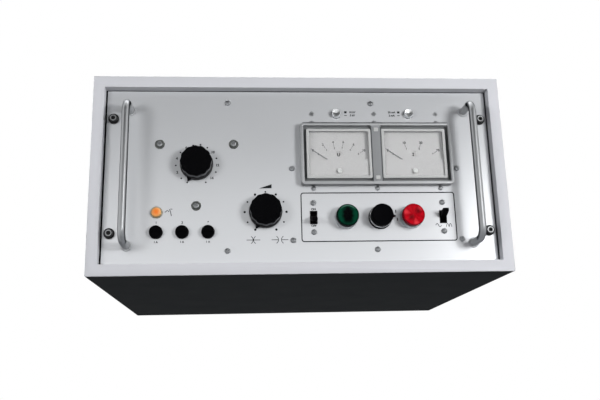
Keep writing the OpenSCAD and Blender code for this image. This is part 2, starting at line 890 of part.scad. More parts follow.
module gap_bracket() {
    electrode_d = 8;
    color("#d8cfae") on_panel(gap_at) difference() {
        union() {
            block(bracket_w, bracket_h, -panel_t - bracket_wall, -panel_t);
            rod(gap_bush_d, -panel_t - cut, -air);
            translate([-bracket_w / 2, -bracket_h / 2, -gap_length])
                cube([bracket_w, shelf_t, gap_length - panel_t]);
            block(bracket_w, bracket_h, -gap_length, -gap_length + bracket_wall);
            rod(electrode_d, -gap_length + cut, -fixed_ball);
            translate([0, 0, -fixed_ball]) sphere(d = ball_d);
        }
        rod(gap_shaft_d + 2 * run, -panel_t - bracket_wall - cut, 0);
    }
}

// Selector, push buttons and range buttons

module selector_knob() {
    low = selector_ring_h + air;
    nose_root = selector_d / 2 - nose_sink;
    color("#08080a") on_panel(selector_at) {
        rod(selector_d + 1, low, low + selector_skirt_t);
        rod(selector_d, low, selector_out);
        rotate(-selector_angle) translate([0, 0, low]) linear_extrude(selector_out - low - 4)
            polygon([[-selector_nose_w / 2, nose_root], [selector_nose_w / 2, nose_root], [0, selector_nose]]);
        rod(selector_stem_d, -selector_stem_l, low + cut);
    }
}

module selector_switch() {
    color("#c8cbce") on_panel(selector_at) difference() {
        union() {
            rod(ring_d, 0, selector_ring_h);
            rod(barrel_d, -barrel_l, cut);
        }
        rod(selector_stem_d + 2 * run, -selector_stem_l - air, selector_ring_h + cut);
    }
}

module green_button() {
    color("#0b4a33") on_panel(green_at) push_lens();
}

module red_button() {
    color("#d01f2c") on_panel(red_at) push_lens();
}

module button_bodies() {
    well = plunger_l + button_travel + 2;
    color("#7d8286") for (p = [green_at, red_at]) on_panel(p) difference() {
        union() {
            rod(ring_d, 0, ring_h);
            rod(barrel_d, -barrel_l, cut);
        }
        rod(plunger_d, -well, ring_h + cut);
    }
}

module range_button_left() {
    color("#e2e4e6") on_panel(range_at[0]) range_button();
}

module range_button_right() {
    color("#e2e4e6") on_panel(range_at[1]) range_button();
}

module range_switches() {
    color("#2b3f66") for (p = range_at) on_panel(p) difference() {
        block(range_body, range_body, -panel_t - range_body_l, -panel_t);
        rod(range_pocket_d, -range_pocket_l(), 0);
        rod(range_stem_d + 2 * glide, -range_body_l, 0);
    }
}

// Lever switches

module mains_lever() {
    color("#0a0a0c") on_panel(mains_at) paddle(-1);
}

module wave_lever() {
    color("#0a0a0c") on_panel(wave_at) paddle(1);
}

module lever_switches() {
    body_back = panel_t + switch_body_l;
    slot_floor = lever_depth + lever_root + 3;
    color("#141517") for (p = [mains_at, wave_at]) on_panel(p) {
        difference() {
            union() {
                block(collar_w, collar_h, -panel_t - cut, collar_out);
                block(switch_body_w, switch_strip_h, -panel_t - switch_strip_t, -panel_t);
                block(switch_body_w, switch_body_h, -body_back, -panel_t);
            }
            block(lever_slot_w, lever_slot_h, -slot_floor, collar_out + cut);
            for (z = [-1, 1]) translate([0, z * switch_screw_z, 0])
                rod(pan_d + 2 * slip, -panel_t - switch_strip_t - cut, 0);
        }
        translate([0, 0, -lever_depth]) rotate([0, 90, 0])
            cylinder(d = lever_pin_d, h = lever_slot_w + cut, center = true);
    }
}

// Lamp and fuses

module lamp_lens() {
    dome_r = lamp_d * 0.62;
    dome_low = lamp_ring_h + 0.6;
    dome_z = dome_low - sqrt(dome_r * dome_r - lamp_d * lamp_d / 4);
    color("#ee8a2c") on_panel(lamp_at) {
        rod(lamp_d, lamp_floor, dome_low);
        intersection() {
            translate([0, 0, dome_z]) sphere(dome_r);
            rod(2 * dome_r, dome_low - 0.01, dome_low + dome_r);
        }
    }
}

module lamp_holder() {
    lamp_l = 28;
    color("#c9ccd0") on_panel(lamp_at) difference() {
        union() {
            rod(lamp_ring_d, 0, lamp_ring_h);
            rod(lamp_barrel_d, -lamp_l, cut);
        }
        rod(lamp_d + 2 * slip, lamp_floor, lamp_ring_h + cut);
    }
}

module fuse_holders() {
    fuse_floor = fuse_stem_l + air + fuse_l;
    color("#111214") for (p = fuse_at) on_panel(p) difference() {
        union() {
            rod(fuse_cap_d + 0.8, 0, fuse_ring_t);
            rod(fuse_barrel_d, -fuse_barrel_l, cut);
        }
        rod(fuse_bore_d, -fuse_floor, fuse_ring_t + cut);
    }
}

module fuse_cap_1() {
    color("#08080a") on_panel(fuse_at[0]) fuse_cap();
}

module fuse_cap_2() {
    color("#08080a") on_panel(fuse_at[1]) fuse_cap();
}

module fuse_cap_3() {
    color("#08080a") on_panel(fuse_at[2]) fuse_cap();
}

module fuses() {
    fuse_floor = fuse_stem_l + air + fuse_l;
    color("#d8d8cc") for (p = fuse_at) on_panel(p) rod(fuse_d, -fuse_floor, -fuse_floor + fuse_l);
}

// Chassis and what stands on it

module chassis_tray() {
    front_low = tray_top - tray_t;
    color("#9fa3a7") difference() {
        union() {
            translate([-tray_w / 2, panel_back, front_low]) cube([tray_w, tray_end - panel_back, tray_t]);
            translate([-tray_w / 2, panel_back, front_low]) cube([tray_w, tray_t, tray_front_h + tray_t]);
            for (x = [-tray_w / 2, tray_w / 2 - tray_t]) translate([x, tray_start, case_wall])
                cube([tray_t, tray_end - tray_start, tray_top - case_wall]);
        }
        for (x = [-1, 1]) on_panel([x * chassis_screw_x, -chassis_screw_z])
            rod(pan_d + 2 * slip, -panel_t - tray_t - cut, 0);
        handle_head_room();
    }
}

module hv_core() {
    window_h = core_size[2] - 2 * core_yoke;
    color("#4a4c50") translate([hv_at[0], hv_at[1], tray_top]) difference() {
        block(core_size[0], core_size[1], 0, core_size[2]);
        for (i = [-1, 1]) translate([i * (core_leg + core_window_w) / 2, 0, core_yoke])
            block(core_window_w, core_size[1] + 2 * cut, 0, window_h);
    }
}

module hv_winding() {
    window_h = core_size[2] - 2 * core_yoke;
    wrap = core_window_w - coil_room;
    color("#7a3f1e") translate([hv_at[0], hv_at[1], tray_top + core_yoke]) difference() {
        block(core_leg + 2 * wrap, core_size[1] + 2 * wrap, 0, window_h - coil_room);
        block(core_leg + 2 * coil_room, core_size[1] + 2 * coil_room, -cut, window_h + cut);
    }
}

module hv_capacitor() {
    post_d = 22;
    post_h = 28;
    color("#74797d") translate([cap_at[0], cap_at[1], tray_top]) {
        linear_extrude(can_size[2]) rounded(can_size[0], can_size[1], 8);
        for (x = [-1, 1]) translate([x * can_size[0] / 4, 0, 0]) {
            rod(post_d, can_size[2] - cut, can_size[2] + post_h);
            rod(post_d * 1.5, can_size[2] + post_h / 3, can_size[2] + post_h / 3 + 4);
        }
    }
}

module rectifier() {
    board_w = 50;
    board_l = 130;
    stick_d = 18;
    stick_h = 60;
    color("#3b5a3f") translate([rectifier_at[0], rectifier_at[1], tray_top]) {
        block(board_w, board_l, 0, 4);
        for (i = [-1:1]) translate([0, i * board_l / 3.4, 0]) rod(stick_d, 3, stick_h);
    }
}

module control_board() {
    color("#2f6b3c") on_panel([meter_x, meter_z]) {
        block(control_w, control_h, -housing_back - control_t, -housing_back);
        for (i = [-1:1]) translate([i * relay_step, 0, 0])
            block(relay_w, relay_h, -housing_back - control_t - relay_l, -housing_back - cut);
    }
}

// Connections on the rear panel

module mains_inlet() {
    blade = [2, 4, 10];
    color("#141517") on_rear(inlet_at) {
        difference() {
            union() {
                block(inlet_w, inlet_h, 0, inlet_flange_t);
                block(inlet_body_w, inlet_body_h, -inlet_l, cut);
            }
            block(inlet_well_w, inlet_well_h, inlet_flange_t - inlet_well_l, inlet_flange_t + cut);
        }
        for (i = [-1:1]) translate([i * 7, 4, 0])
            block(blade[0], blade[1], inlet_flange_t - inlet_well_l - cut, inlet_flange_t - inlet_well_l + blade[2]);
    }
}

module hv_socket() {
    color("#d9d4c4") on_rear(socket_at) difference() {
        union() {
            rod(socket_flange_d, 0, rear_flange_t);
            rod(socket_d, -socket_l, cut);
        }
        rod(socket_bore_d, rear_flange_t - socket_bore_l, rear_flange_t + cut);
    }
}

module earth_terminal() {
    color("#c79a4a") on_rear(earth_at) difference() {
        union() {
            rod(earth_flange_d, 0, rear_flange_t);
            rod(earth_d, -earth_l, cut);
        }
        rod(earth_bore_d, rear_flange_t - earth_bore_l, rear_flange_t + cut);
    }
}

case_shell();
front_frame();
rear_panel();
rear_screws();
front_panel();
rack_screws();
cup_washers();
panel_screws();
countersunk_screws();
meter_studs();
setter_screws();
finishing_washers();
handle_left();
handle_right();
handle_bolts();
meter_bezel();
meter_housing();
meter_dials();
meter_windows();
meter_movements();
pointer_left();
pointer_right();
zero_screw_left();
zero_screw_right();
voltage_knob();
voltage_shaft();
brush_arm();
variac_base();
variac_winding();
gap_knob();
gap_shaft();
gap_carriage();
gap_bracket();
selector_knob();
selector_switch();
green_button();
red_button();
button_bodies();
range_button_left();
range_button_right();
range_switches();
mains_lever();
wave_lever();
lever_switches();
lamp_lens();
lamp_holder();
fuse_holders();
fuse_cap_1();
fuse_cap_2();
fuse_cap_3();
fuses();
chassis_tray();
hv_core();
hv_winding();
hv_capacitor();
rectifier();
control_board();
mains_inlet();
hv_socket();
earth_terminal();
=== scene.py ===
"""Looks of a bench high-voltage tester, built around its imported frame.

Each operator makes one group of pieces, at the sizes and places that the frame gives, with their finishes.
Pieces on the front are modelled in millimetres with Z pointing at the viewer, and then seated on the panel.
"""

import json
import math

import bpy
from bpy.props import FloatProperty, FloatVectorProperty, IntProperty, PointerProperty
from mathutils import Matrix, Vector


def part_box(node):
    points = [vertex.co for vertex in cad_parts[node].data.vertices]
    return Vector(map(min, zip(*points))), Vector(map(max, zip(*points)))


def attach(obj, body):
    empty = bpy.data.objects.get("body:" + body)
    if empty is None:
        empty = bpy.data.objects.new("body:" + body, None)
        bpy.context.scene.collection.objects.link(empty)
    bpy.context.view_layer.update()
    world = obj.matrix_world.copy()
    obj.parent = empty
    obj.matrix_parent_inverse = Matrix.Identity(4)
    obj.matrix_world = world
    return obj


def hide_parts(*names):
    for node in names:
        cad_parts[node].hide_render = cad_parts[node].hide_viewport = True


bl_info = {
    "name": "High-voltage tester",
    "version": (1, 0, 0),
    "blender": (4, 5, 0),
    "location": "View3D > Sidebar > Tester",
    "description": "Knobs, meters, prints and finishes of a bench high-voltage tester",
    "category": "Object",
}

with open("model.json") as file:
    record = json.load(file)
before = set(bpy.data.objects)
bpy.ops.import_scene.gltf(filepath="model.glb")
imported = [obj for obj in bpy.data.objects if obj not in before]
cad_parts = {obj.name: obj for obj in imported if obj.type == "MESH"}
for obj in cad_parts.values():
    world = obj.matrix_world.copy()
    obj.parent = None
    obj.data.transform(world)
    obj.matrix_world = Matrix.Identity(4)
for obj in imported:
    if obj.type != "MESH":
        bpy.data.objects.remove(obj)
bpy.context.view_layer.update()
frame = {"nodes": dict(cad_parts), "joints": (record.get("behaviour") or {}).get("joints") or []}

MM = 0.001
PANEL_LOW, PANEL_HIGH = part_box("front_panel")
FACE_Y = PANEL_LOW.y
PANEL_X = (PANEL_LOW.x + PANEL_HIGH.x) / 2
PANEL_Z = (PANEL_LOW.z + PANEL_HIGH.z) / 2
JOINTS = {joint["name"]: joint for joint in frame["joints"]}

# Sizes that pieces share, in millimetres, and where knobs point at rest, in degrees from straight up
LENS_RADIUS = 13.7
LAMP_RADIUS = 5.8
COVER_EDGE = 0.25
SCALE_RADIUS = 25.6
VOLTAGE_START = 206.0
GAP_START = 210.0
SELECTOR_START = 94.0


# Places in the frame


def axis_of(joint):
    """Where a joint's axis meets the panel, as x and z."""
    x, _, z = JOINTS[joint]["pos_m"]
    return x, z


def middle_of(node):
    """The middle of a node's box, as x and z."""
    low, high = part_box(node)
    return (low.x + high.x) / 2, (low.z + high.z) / 2


def reach_of(node):
    """How far a node stands out of the panel, in millimetres."""
    return (FACE_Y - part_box(node)[0].y) / MM


def sink_of(node):
    """How far a node goes in behind the panel's face, in millimetres below it."""
    return (FACE_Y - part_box(node)[1].y) / MM


def solids_of(node, apart):
    """The middles, as x and z, of a node's separate solids, each smaller than apart in metres."""
    groups = []
    for vertex in frame["nodes"][node].data.vertices:
        point = vertex.co
        for group in groups:
            if abs(point.x - group[0].x) < apart and abs(point.z - group[0].z) < apart:
                group.append(point)
                break
        else:
            groups.append([point])
    places = []
    for group in groups:
        across = [point.x for point in group]
        upward = [point.z for point in group]
        places.append(((min(across) + max(across)) / 2, (min(upward) + max(upward)) / 2))
    return sorted(places)


# Sizes and colours that a user would change


def srgb(red, green, blue):
    """A colour as it looks on screen, 0 to 255, in the linear values that a shader takes."""
    return tuple(((c / 255 + 0.055) / 1.055) ** 2.4 for c in (red, green, blue))


def length(label, description, millimetres):
    """A length property, given in millimetres."""
    return FloatProperty(name=label, description=description, default=millimetres * MM, min=0.0,
                         precision=5, unit="LENGTH")


def tint(label, description, red, green, blue):
    """A colour property, given as it looks on screen."""
    return FloatVectorProperty(name=label, description=description, default=srgb(red, green, blue),
                               size=3, min=0.0, max=1.0, subtype="COLOR")


class TesterSizes(bpy.types.PropertyGroup):
    """Sizes of the details that the frame leaves plain."""

    frame_edge: length("Frame edge", "Radius of the front frame's broken edges", 0.9)
    bezel_edge: length("Bezel edge", "Radius of the meter bezel's edges", 1.1)
    fine_edge: length("Fine edge", "Radius of the edges of screws, levers and sockets", 0.35)
    bar_radius: length("Bar radius", "Radius of the handles' bars", 4.5)
    bar_bend: length("Bar bend", "Radius of the handles' bends at the centre line", 14.0)
    foot_radius: length("Foot radius", "Radius of the collars under the handles", 6.5)
    flute_depth: length("Flute depth", "Depth of the flutes in the large knobs", 0.75)
    window_rim: length("Window rim", "Width of the raised rim around a meter window", 3.3)
    ink_lift: length("Ink lift", "Height of the prints above the surface under them", 0.06)
    cap_flutes: IntProperty(name="Flutes", description="Flutes around a large knob", default=12, min=6)
    knurls: IntProperty(name="Knurls", description="Ridges around a fuse cap", default=32, min=12)


class TesterColours(bpy.types.PropertyGroup):
    """Colours of the main finishes."""

    case: tint("Case", "Powder coat of the sleeve", 48, 55, 60)
    frame: tint("Frame", "Powder coat of the front frame", 202, 203, 208)
    panel: tint("Panel", "Anodised front panel", 213, 215, 218)
    ink: tint("Ink", "Prints on the panel", 22, 23, 25)
    dial: tint("Dial", "Meter dials", 185, 184, 184)
    green: tint("Green", "Green lens", 3, 58, 40)
    red: tint("Red", "Red lens", 184, 8, 26)
    orange: tint("Orange", "Lamp lens", 232, 118, 36)
    black: tint("Black", "Knobs and caps", 3, 3, 5)


def sizes():
    """The sizes set for this scene."""
    return bpy.context.scene.tester_sizes


def colours():
    """The colours set for this scene."""
    return bpy.context.scene.tester_colours


# Shader expressions


class Wire:
    """A shader socket that takes part in arithmetic: each sign adds a Math node."""

    def __init__(self, nodes, socket):
        self.nodes = nodes
        self.socket = socket

    def __add__(self, other):
        return self.nodes.maths("ADD", self, other)

    def __sub__(self, other):
        return self.nodes.maths("SUBTRACT", self, other)

    def __rsub__(self, other):
        return self.nodes.maths("SUBTRACT", other, self)

    def __mul__(self, other):
        return self.nodes.maths("MULTIPLY", self, other)

    def __truediv__(self, other):
        return self.nodes.maths("DIVIDE", self, other)

    def __pow__(self, other):
        return self.nodes.maths("POWER", self, other)

    def __gt__(self, other):
        return self.nodes.maths("GREATER_THAN", self, other)

    def __lt__(self, other):
        return self.nodes.maths("LESS_THAN", self, other)

    def __abs__(self):
        return self.nodes.maths("ABSOLUTE", self)

    __radd__ = __add__
    __rmul__ = __mul__


class Nodes:
    """A node tree that is written as expressions."""

    def __init__(self, tree):
        self.tree = tree

    def feed(self, socket, value):
        """Links a wire to a socket, or sets the socket's own value."""
        if isinstance(value, Wire):
            self.tree.links.new(value.socket, socket)
        elif socket.type == "RGBA":
            socket.default_value = (*value[:3], 1.0)
        else:
            socket.default_value = value

    def node(self, kind, settings=None, values=None, output=0):
        """Adds a node, with its settings first and then its sockets, and gives one of its outputs."""
        made = self.tree.nodes.new(kind)
        for key, value in (settings or {}).items():
            setattr(made, key, value)
        for socket, value in (values or {}).items():
            self.feed(made.inputs[socket], value)
        return Wire(self, made.outputs[output])

    def maths(self, operation, *values):
        """A Math node on wires and numbers."""
        return self.node("ShaderNodeMath", {"operation": operation}, dict(enumerate(values)))

    def larger(self, *values):
        """The largest of some values."""
        largest = values[0]
        for value in values[1:]:
            largest = self.maths("MAXIMUM", largest, value)
        return largest

    def smaller(self, first, second):
        """The smaller of two values."""
        return self.maths("MINIMUM", first, second)

    def clip(self, value):
        """A value kept between 0 and 1."""
        return self.node("ShaderNodeClamp", {}, {"Value": value})

    def part(self, vector, axis):
        """A vector's part along an axis."""
        return self.node("ShaderNodeSeparateXYZ", {}, {0: vector}, output=axis)

    def ray(self, kind):
        """1 for one kind of ray, and 0 for all others."""
        return self.node("ShaderNodeLightPath", output=f"Is {kind} Ray")


class Finish(Nodes):
    """A material: uniform values sit on its shader, and varying ones are written as expressions."""

    def __init__(self, name, **uniform):
        self.material = bpy.data.materials.new(name)
        self.material.use_nodes = True
        super().__init__(self.material.node_tree)
        self.shader = self.tree.nodes["Principled BSDF"]
        self.place = self.node("ShaderNodeTexCoord", output="Object")
        for label, value in uniform.items():
            self.set(label.replace("_", " "), value)

    def set(self, label, value):
        """Feeds one of the shader's sockets."""
        self.feed(self.shader.inputs[label], value)

    def noise(self, scale, detail=2.0, stretch=(1.0, 1.0, 1.0)):
        """Noise over the object, stretched along its axes."""
        place = self.node("ShaderNodeMapping", {}, {"Vector": self.place, "Scale": stretch})
        return self.node("ShaderNodeTexNoise", {}, {"Vector": place, "Scale": scale, "Detail": detail})

    def blend(self, factor, first, second):
        """A mix of two colours."""
        return self.node("ShaderNodeMix", {"data_type": "RGBA"}, {0: factor, 6: first, 7: second}, output=2)

    def along(self, axis):
        """The place on the object along an axis, in metres."""
        return self.part(self.place, axis)

    def facing(self, axis):
        """How far the surface faces along an axis, from -1 to 1."""
        return self.part(self.node("ShaderNodeNewGeometry", output="Normal"), axis)

    def around(self, x, z):
        """The distance from an axis along Y through x and z, and the angle about it."""
        across = self.along("X") - x
        upward = self.along("Z") - z
        return (across * across + upward * upward) ** 0.5, self.maths("ARCTAN2", upward, across)

    def bump(self, height, depth):
        """Raises the surface by a height, in metres at a height of 1."""
        values = {"Strength": 1.0, "Distance": depth, "Height": height}
        self.set("Normal", self.node("ShaderNodeBump", {}, values))


def shaded(colour, share):
    """A colour made lighter or darker by a share of itself."""
    return tuple(min(1.0, c * share) for c in colour)


def coated(name, colour, rough, grain, depth, spread, **uniform):
    """Paint, powder coat or moulded plastic: a fine grain, and clouds of handling."""
    finish = Finish(name, **uniform)
    fine = finish.noise(grain, 2.0)
    cloud = finish.noise(17.0, 3.0)
    finish.set("Base Color", finish.blend(cloud, shaded(colour, 1 - spread), shaded(colour, 1 + spread)))
    finish.set("Roughness", rough + (cloud - 0.5) * 0.16 + (fine - 0.5) * 0.12)
    finish.bump(fine, depth)
    return finish.material


def drawn_metal(name, colour, rough, stretch=(1.0, 1.0, 1.0), grain=600.0, depth=0.000012):
    """Bare or anodised metal: hairlines along one direction, and soft smudges."""
    finish = Finish(name, Metallic=1.0)
    hair = finish.noise(grain, 3.0, stretch)
    smudge = finish.noise(11.0, 3.0)
    tone = finish.clip(hair * 0.6 + smudge * 0.4)
    finish.set("Base Color", finish.blend(tone, shaded(colour, 0.93), shaded(colour, 1.04)))
    finish.set("Roughness", rough + (smudge - 0.5) * 0.14 + (hair - 0.5) * 0.10)
    finish.bump(hair, depth)
    return finish.material


def case_coat():
    """Fine textured dark powder coat."""
    return coated("case_coat", colours().case, 0.62, 1500.0, 0.00012, 0.14, Specular_IOR_Level=0.22)


def frame_coat():
    """Smooth light-grey powder coat, with painted shade: darker where it faces down, and dark in the groove
    behind the panel's face, near black on the left and grey on the right.
    """
    finish = Finish("frame_coat", Specular_IOR_Level=0.1)
    fine = finish.noise(1300.0, 2.0)
    cloud = finish.noise(17.0, 3.0)
    colour = colours().frame
    paint = finish.blend(cloud, shaded(colour, 0.975), shaded(colour, 1.025))
    # Painted shade: faces that face down are blended towards a darker copy of the coat.
    underside = finish.clip(finish.facing("Z") * -1.0) * 0.4
    paint = finish.blend(underside, paint, shaded(colour, 0.3))
    # Painted shade in the groove behind the panel's face: near black on the left, grey on the right.
    groove = finish.along("Y") > FACE_Y + 0.2 * MM
    right = finish.along("X") > PANEL_X
    shadow = finish.blend(right, srgb(16, 17, 18), srgb(92, 93, 96))
    finish.set("Base Color", finish.blend(groove, paint, shadow))
    finish.set("Roughness", 0.46 + (cloud - 0.5) * 0.16 + (fine - 0.5) * 0.12)
    finish.bump(fine, 0.00003)
    return finish.material


def panel_anodise():
    """Satin anodised aluminium, with its grain across the panel."""
    finish = Finish("panel_anodise", Metallic=0.42, Specular_IOR_Level=0.3)
    hair = finish.noise(420.0, 3.0, (0.05, 1.0, 2.2))
    smudge = finish.noise(6.0, 3.0)
    colour = colours().panel
    tone = finish.clip(hair * 0.5 + smudge * 0.5)
    finish.set("Base Color", finish.blend(tone, shaded(colour, 0.98), shaded(colour, 1.02)))
    finish.set("Roughness", 0.25 + (smudge - 0.5) * 0.06 + (hair - 0.5) * 0.04)
    finish.bump(hair, 0.0000005)
    return finish.material


def ink():
    """Screen print, a little uneven."""
    return coated("ink", colours().ink, 0.7, 2400.0, 0.000004, 0.10, Specular_IOR_Level=0.15)


def bright_bar():
    """Polished bar, drawn along its length: painted shade along its sides, and dull on the legs near the
    panel.
    """
    leg_reach = 27.0 * MM
    leg_fade = 4.0 * MM
    finish = Finish("bright_bar", Specular_Tint=srgb(100, 102, 104))
    hair = finish.noise(900.0, 3.0, (1.0, 1.0, 0.06))
    smudge = finish.noise(11.0, 3.0)
    leg = finish.clip((finish.along("Y") - (FACE_Y - leg_reach)) / leg_fade)
    # Painted shade: the bar is darkened where it faces sideways, but not on the legs.
    side = finish.clip((abs(finish.facing("X")) - 0.72) * 4.5) * (1.0 - leg)
    tone = finish.blend(finish.clip(hair * 0.6 + smudge * 0.4), srgb(160, 162, 164), srgb(176, 178, 180))
    tone = finish.blend(side * 0.8, tone, srgb(44, 45, 47))
    finish.set("Base Color", finish.blend(leg, tone, srgb(174, 176, 178)))
    finish.set("Metallic", 1.0 - leg * 0.7)
    finish.set("Roughness", 0.30 + smudge * 0.14 + leg * 0.1)
    finish.bump(hair, 0.0000004)
    return finish.material


def screw_steel():
    """Plated screw heads."""
    return drawn_metal("screw_steel", srgb(160, 162, 164), 0.42)


def olive_plating():
    """Passivated washers and screws, greyish green."""
    return drawn_metal("olive_plating", srgb(112, 115, 111), 0.50)


def worn_steel():
    """Steel worn bright."""
    return drawn_metal("worn_steel", srgb(172, 174, 176), 0.42)


def cup_plastic():
    """Black cup washers."""
    return coated("cup_plastic", srgb(12, 12, 13), 0.42, 1200.0, 0.00002, 0.2, Specular_IOR_Level=0.25)


def black_oxide():
    """Blackened screws."""
    return coated("black_oxide", srgb(22, 22, 23), 0.40, 1400.0, 0.00002, 0.2, Specular_IOR_Level=0.4)


def knob_plastic():
    """Moulded black plastic with a dull skin."""
    return coated("knob_plastic", colours().black, 0.55, 1700.0, 0.00002, 0.22, Specular_IOR_Level=0.02)


def fluted_plastic():
    """The large caps: a dull black top, and sides with a painted grey sheen towards the top."""
    finish = Finish("fluted_plastic", Specular_IOR_Level=0.02)
    upper, _ = finish.around(*axis_of("voltage_turn"))
    lower, _ = finish.around(*axis_of("gap_turn"))
    radius = finish.smaller(upper, lower)
    height = FACE_Y - finish.along("Y")
    fine = finish.noise(1700.0, 2.0)
    # Painted sheen: the fluted sides are greyed between 6 and 15.5 mm above the panel.
    side = finish.clip((radius - 18.2 * MM) / (0.4 * MM))
    painted_sheen_band = finish.clip((height - 6.0 * MM) / (3.0 * MM)) * finish.clip((15.5 * MM - height) / (1.5 * MM))
    grey = finish.clip(side * painted_sheen_band + (fine - 0.5) * 0.1)
    finish.set("Base Color", finish.blend(grey, colours().black, srgb(112, 113, 116)))
    finish.set("Roughness", 0.5 + fine * 0.1)
    finish.bump(fine, 0.00002)
    return finish.material


def skirt_plastic():
    """The knobs' skirts, a little glossier than the caps."""
    return coated("skirt_plastic", srgb(14, 14, 16), 0.36, 1700.0, 0.00001, 0.2, Specular_IOR_Level=0.3)


def black_moulding():
    """Plain black mouldings: switches and holders."""
    return coated("black_moulding", srgb(10, 10, 11), 0.5, 1100.0, 0.00003, 0.2, Specular_IOR_Level=0.12)


def grey_moulding():
    """Dark grey moulding of the meter housing."""
    return coated("grey_moulding", srgb(106, 108, 109), 0.5, 1100.0, 0.00003, 0.12, Specular_IOR_Level=0.25)


def bezel_metal():
    """Satin metal of the meter bezel, with painted shade on its outer sides, on its right rim and in a line
    along its top edge, and a grey bar between the windows with painted shade along its edges.
    """
    finish = Finish("bezel_metal")
    x, z = middle_of("meter_bezel")
    sideways = finish.along("X") - x
    rise = finish.along("Z") - z
    across = abs(sideways)
    upper = rise > 0.0
    bar = (across < 7.0 * MM) * (abs(rise) < 36.2 * MM)
    # Painted shade along the edges of the grey bar.
    edge = finish.clip((across - 4.9 * MM) / (1.0 * MM))
    lean = finish.facing("Z")
    # Painted shade: faces leaning up on the upper half and down on the lower half, the right rim and a line
    # along the top edge are darkened.
    top = finish.clip((lean - 0.12) * 3.0) * upper * 0.95
    bottom_painted_shade = finish.clip(lean * -1.4) * (1.0 - upper) * 0.75
    right_rim_painted_shade = (sideways > 92.0 * MM) * 0.35
    top_edge_painted_shade = (rise > 39.4 * MM) * 0.75
    shade = finish.larger(top + bottom_painted_shade, right_rim_painted_shade, top_edge_painted_shade)
    inner = finish.clip(lean * -2.0) * upper + finish.clip(lean * 2.0) * (1.0 - upper)
    hair = finish.noise(520.0, 3.0, (0.08, 1.0, 1.0))
    metal = finish.blend(hair, srgb(176, 178, 180), srgb(190, 192, 194))
    metal = finish.blend(finish.clip(shade), metal, srgb(48, 49, 51))
    paint = finish.blend(edge, srgb(130, 132, 134), srgb(58, 60, 62))
    finish.set("Base Color", finish.blend(bar, metal, paint))
    finish.set("Metallic", (1.0 - bar) * (1.0 - inner) * 0.8)
    finish.set("Roughness", 0.34 + hair * 0.1 + bar * 0.2)
    finish.bump(hair, 0.000004)
    return finish.material


def ring_metal():
    """Bright turned rings."""
    return drawn_metal("ring_metal", srgb(218, 220, 222), 0.22)


def lamp_brass():
    """Dull yellowish ring of the lamp."""
    return drawn_metal("lamp_brass", srgb(178, 170, 146), 0.5)


def ring_grey():
    """Grey rings under the push buttons."""
    return drawn_metal("ring_grey", srgb(186, 189, 191), 0.36)


def dial_card():
    """Printed dial card."""
    return coated("dial_card", colours().dial, 0.62, 2600.0, 0.000006, 0.02)


def rim_plastic():
    """The clear cover's frosted rim."""
    return coated("rim_plastic", srgb(180, 181, 181), 0.55, 1800.0, 0.000006, 0.02, Specular_IOR_Level=0.1)


def white_plastic():
    """The zero screws."""
    return coated("white_plastic", srgb(202, 204, 203), 0.5, 1800.0, 0.000006, 0.02, Specular_IOR_Level=0.15)


def window_clear():
    """Thin clear cover: mostly see-through, with its gloss and a little dust."""
    finish = Finish("window_clear", Base_Color=srgb(240, 243, 244), Roughness=0.16, IOR=1.46)
    dust = finish.noise(260.0, 3.0)
    finish.set("Alpha", 0.06 + dust * 0.05)
    return finish.material


def needle_paint():
    """Dark paint of the pointers."""
    return coated("needle_paint", srgb(94, 95, 98), 0.5, 1500.0, 0.000004, 0.1)


def green_lens():
    """Dark green lens: a black core, a green zone with paler facets, a dark edge, and a painted highlight
    along its top.
    """
    finish = Finish("green_lens", Specular_IOR_Level=0.02)
    radius, angle = finish.around(*middle_of("green_button"))
    share = finish.clip(radius / (LENS_RADIUS * MM))
    facet = finish.maths("SINE", angle * 7.0) * 0.5 + 0.5
    speck = finish.noise(420.0, 2.0)
    spread = finish.maths("COSINE", angle) ** 2.0
    core = share * (0.80 + spread * 0.55)
    zone = finish.clip((core - 0.46) * 2.6 + (facet - 0.5) * 0.2 + (speck - 0.5) * 0.15)
    # Painted highlight: a pale arc near the rim along the top of the lens.
    upward = finish.clip(finish.maths("SINE", angle) * 2.2 - 1.2)
    painted_highlight = finish.clip(1.0 - abs(share - 0.84) * 14.0) * upward * 0.4
    edge = finish.clip((share - 0.84) * 8.0)
    green = finish.blend(zone, srgb(1, 4, 5), colours().green)
    rimmed = finish.blend(edge, green, srgb(3, 18, 14))
    finish.set("Base Color", finish.blend(painted_highlight, rimmed, srgb(126, 178, 156)))
    finish.set("Roughness", 0.22 + speck * 0.1)
    finish.bump(facet, 0.0001)
    return finish.material


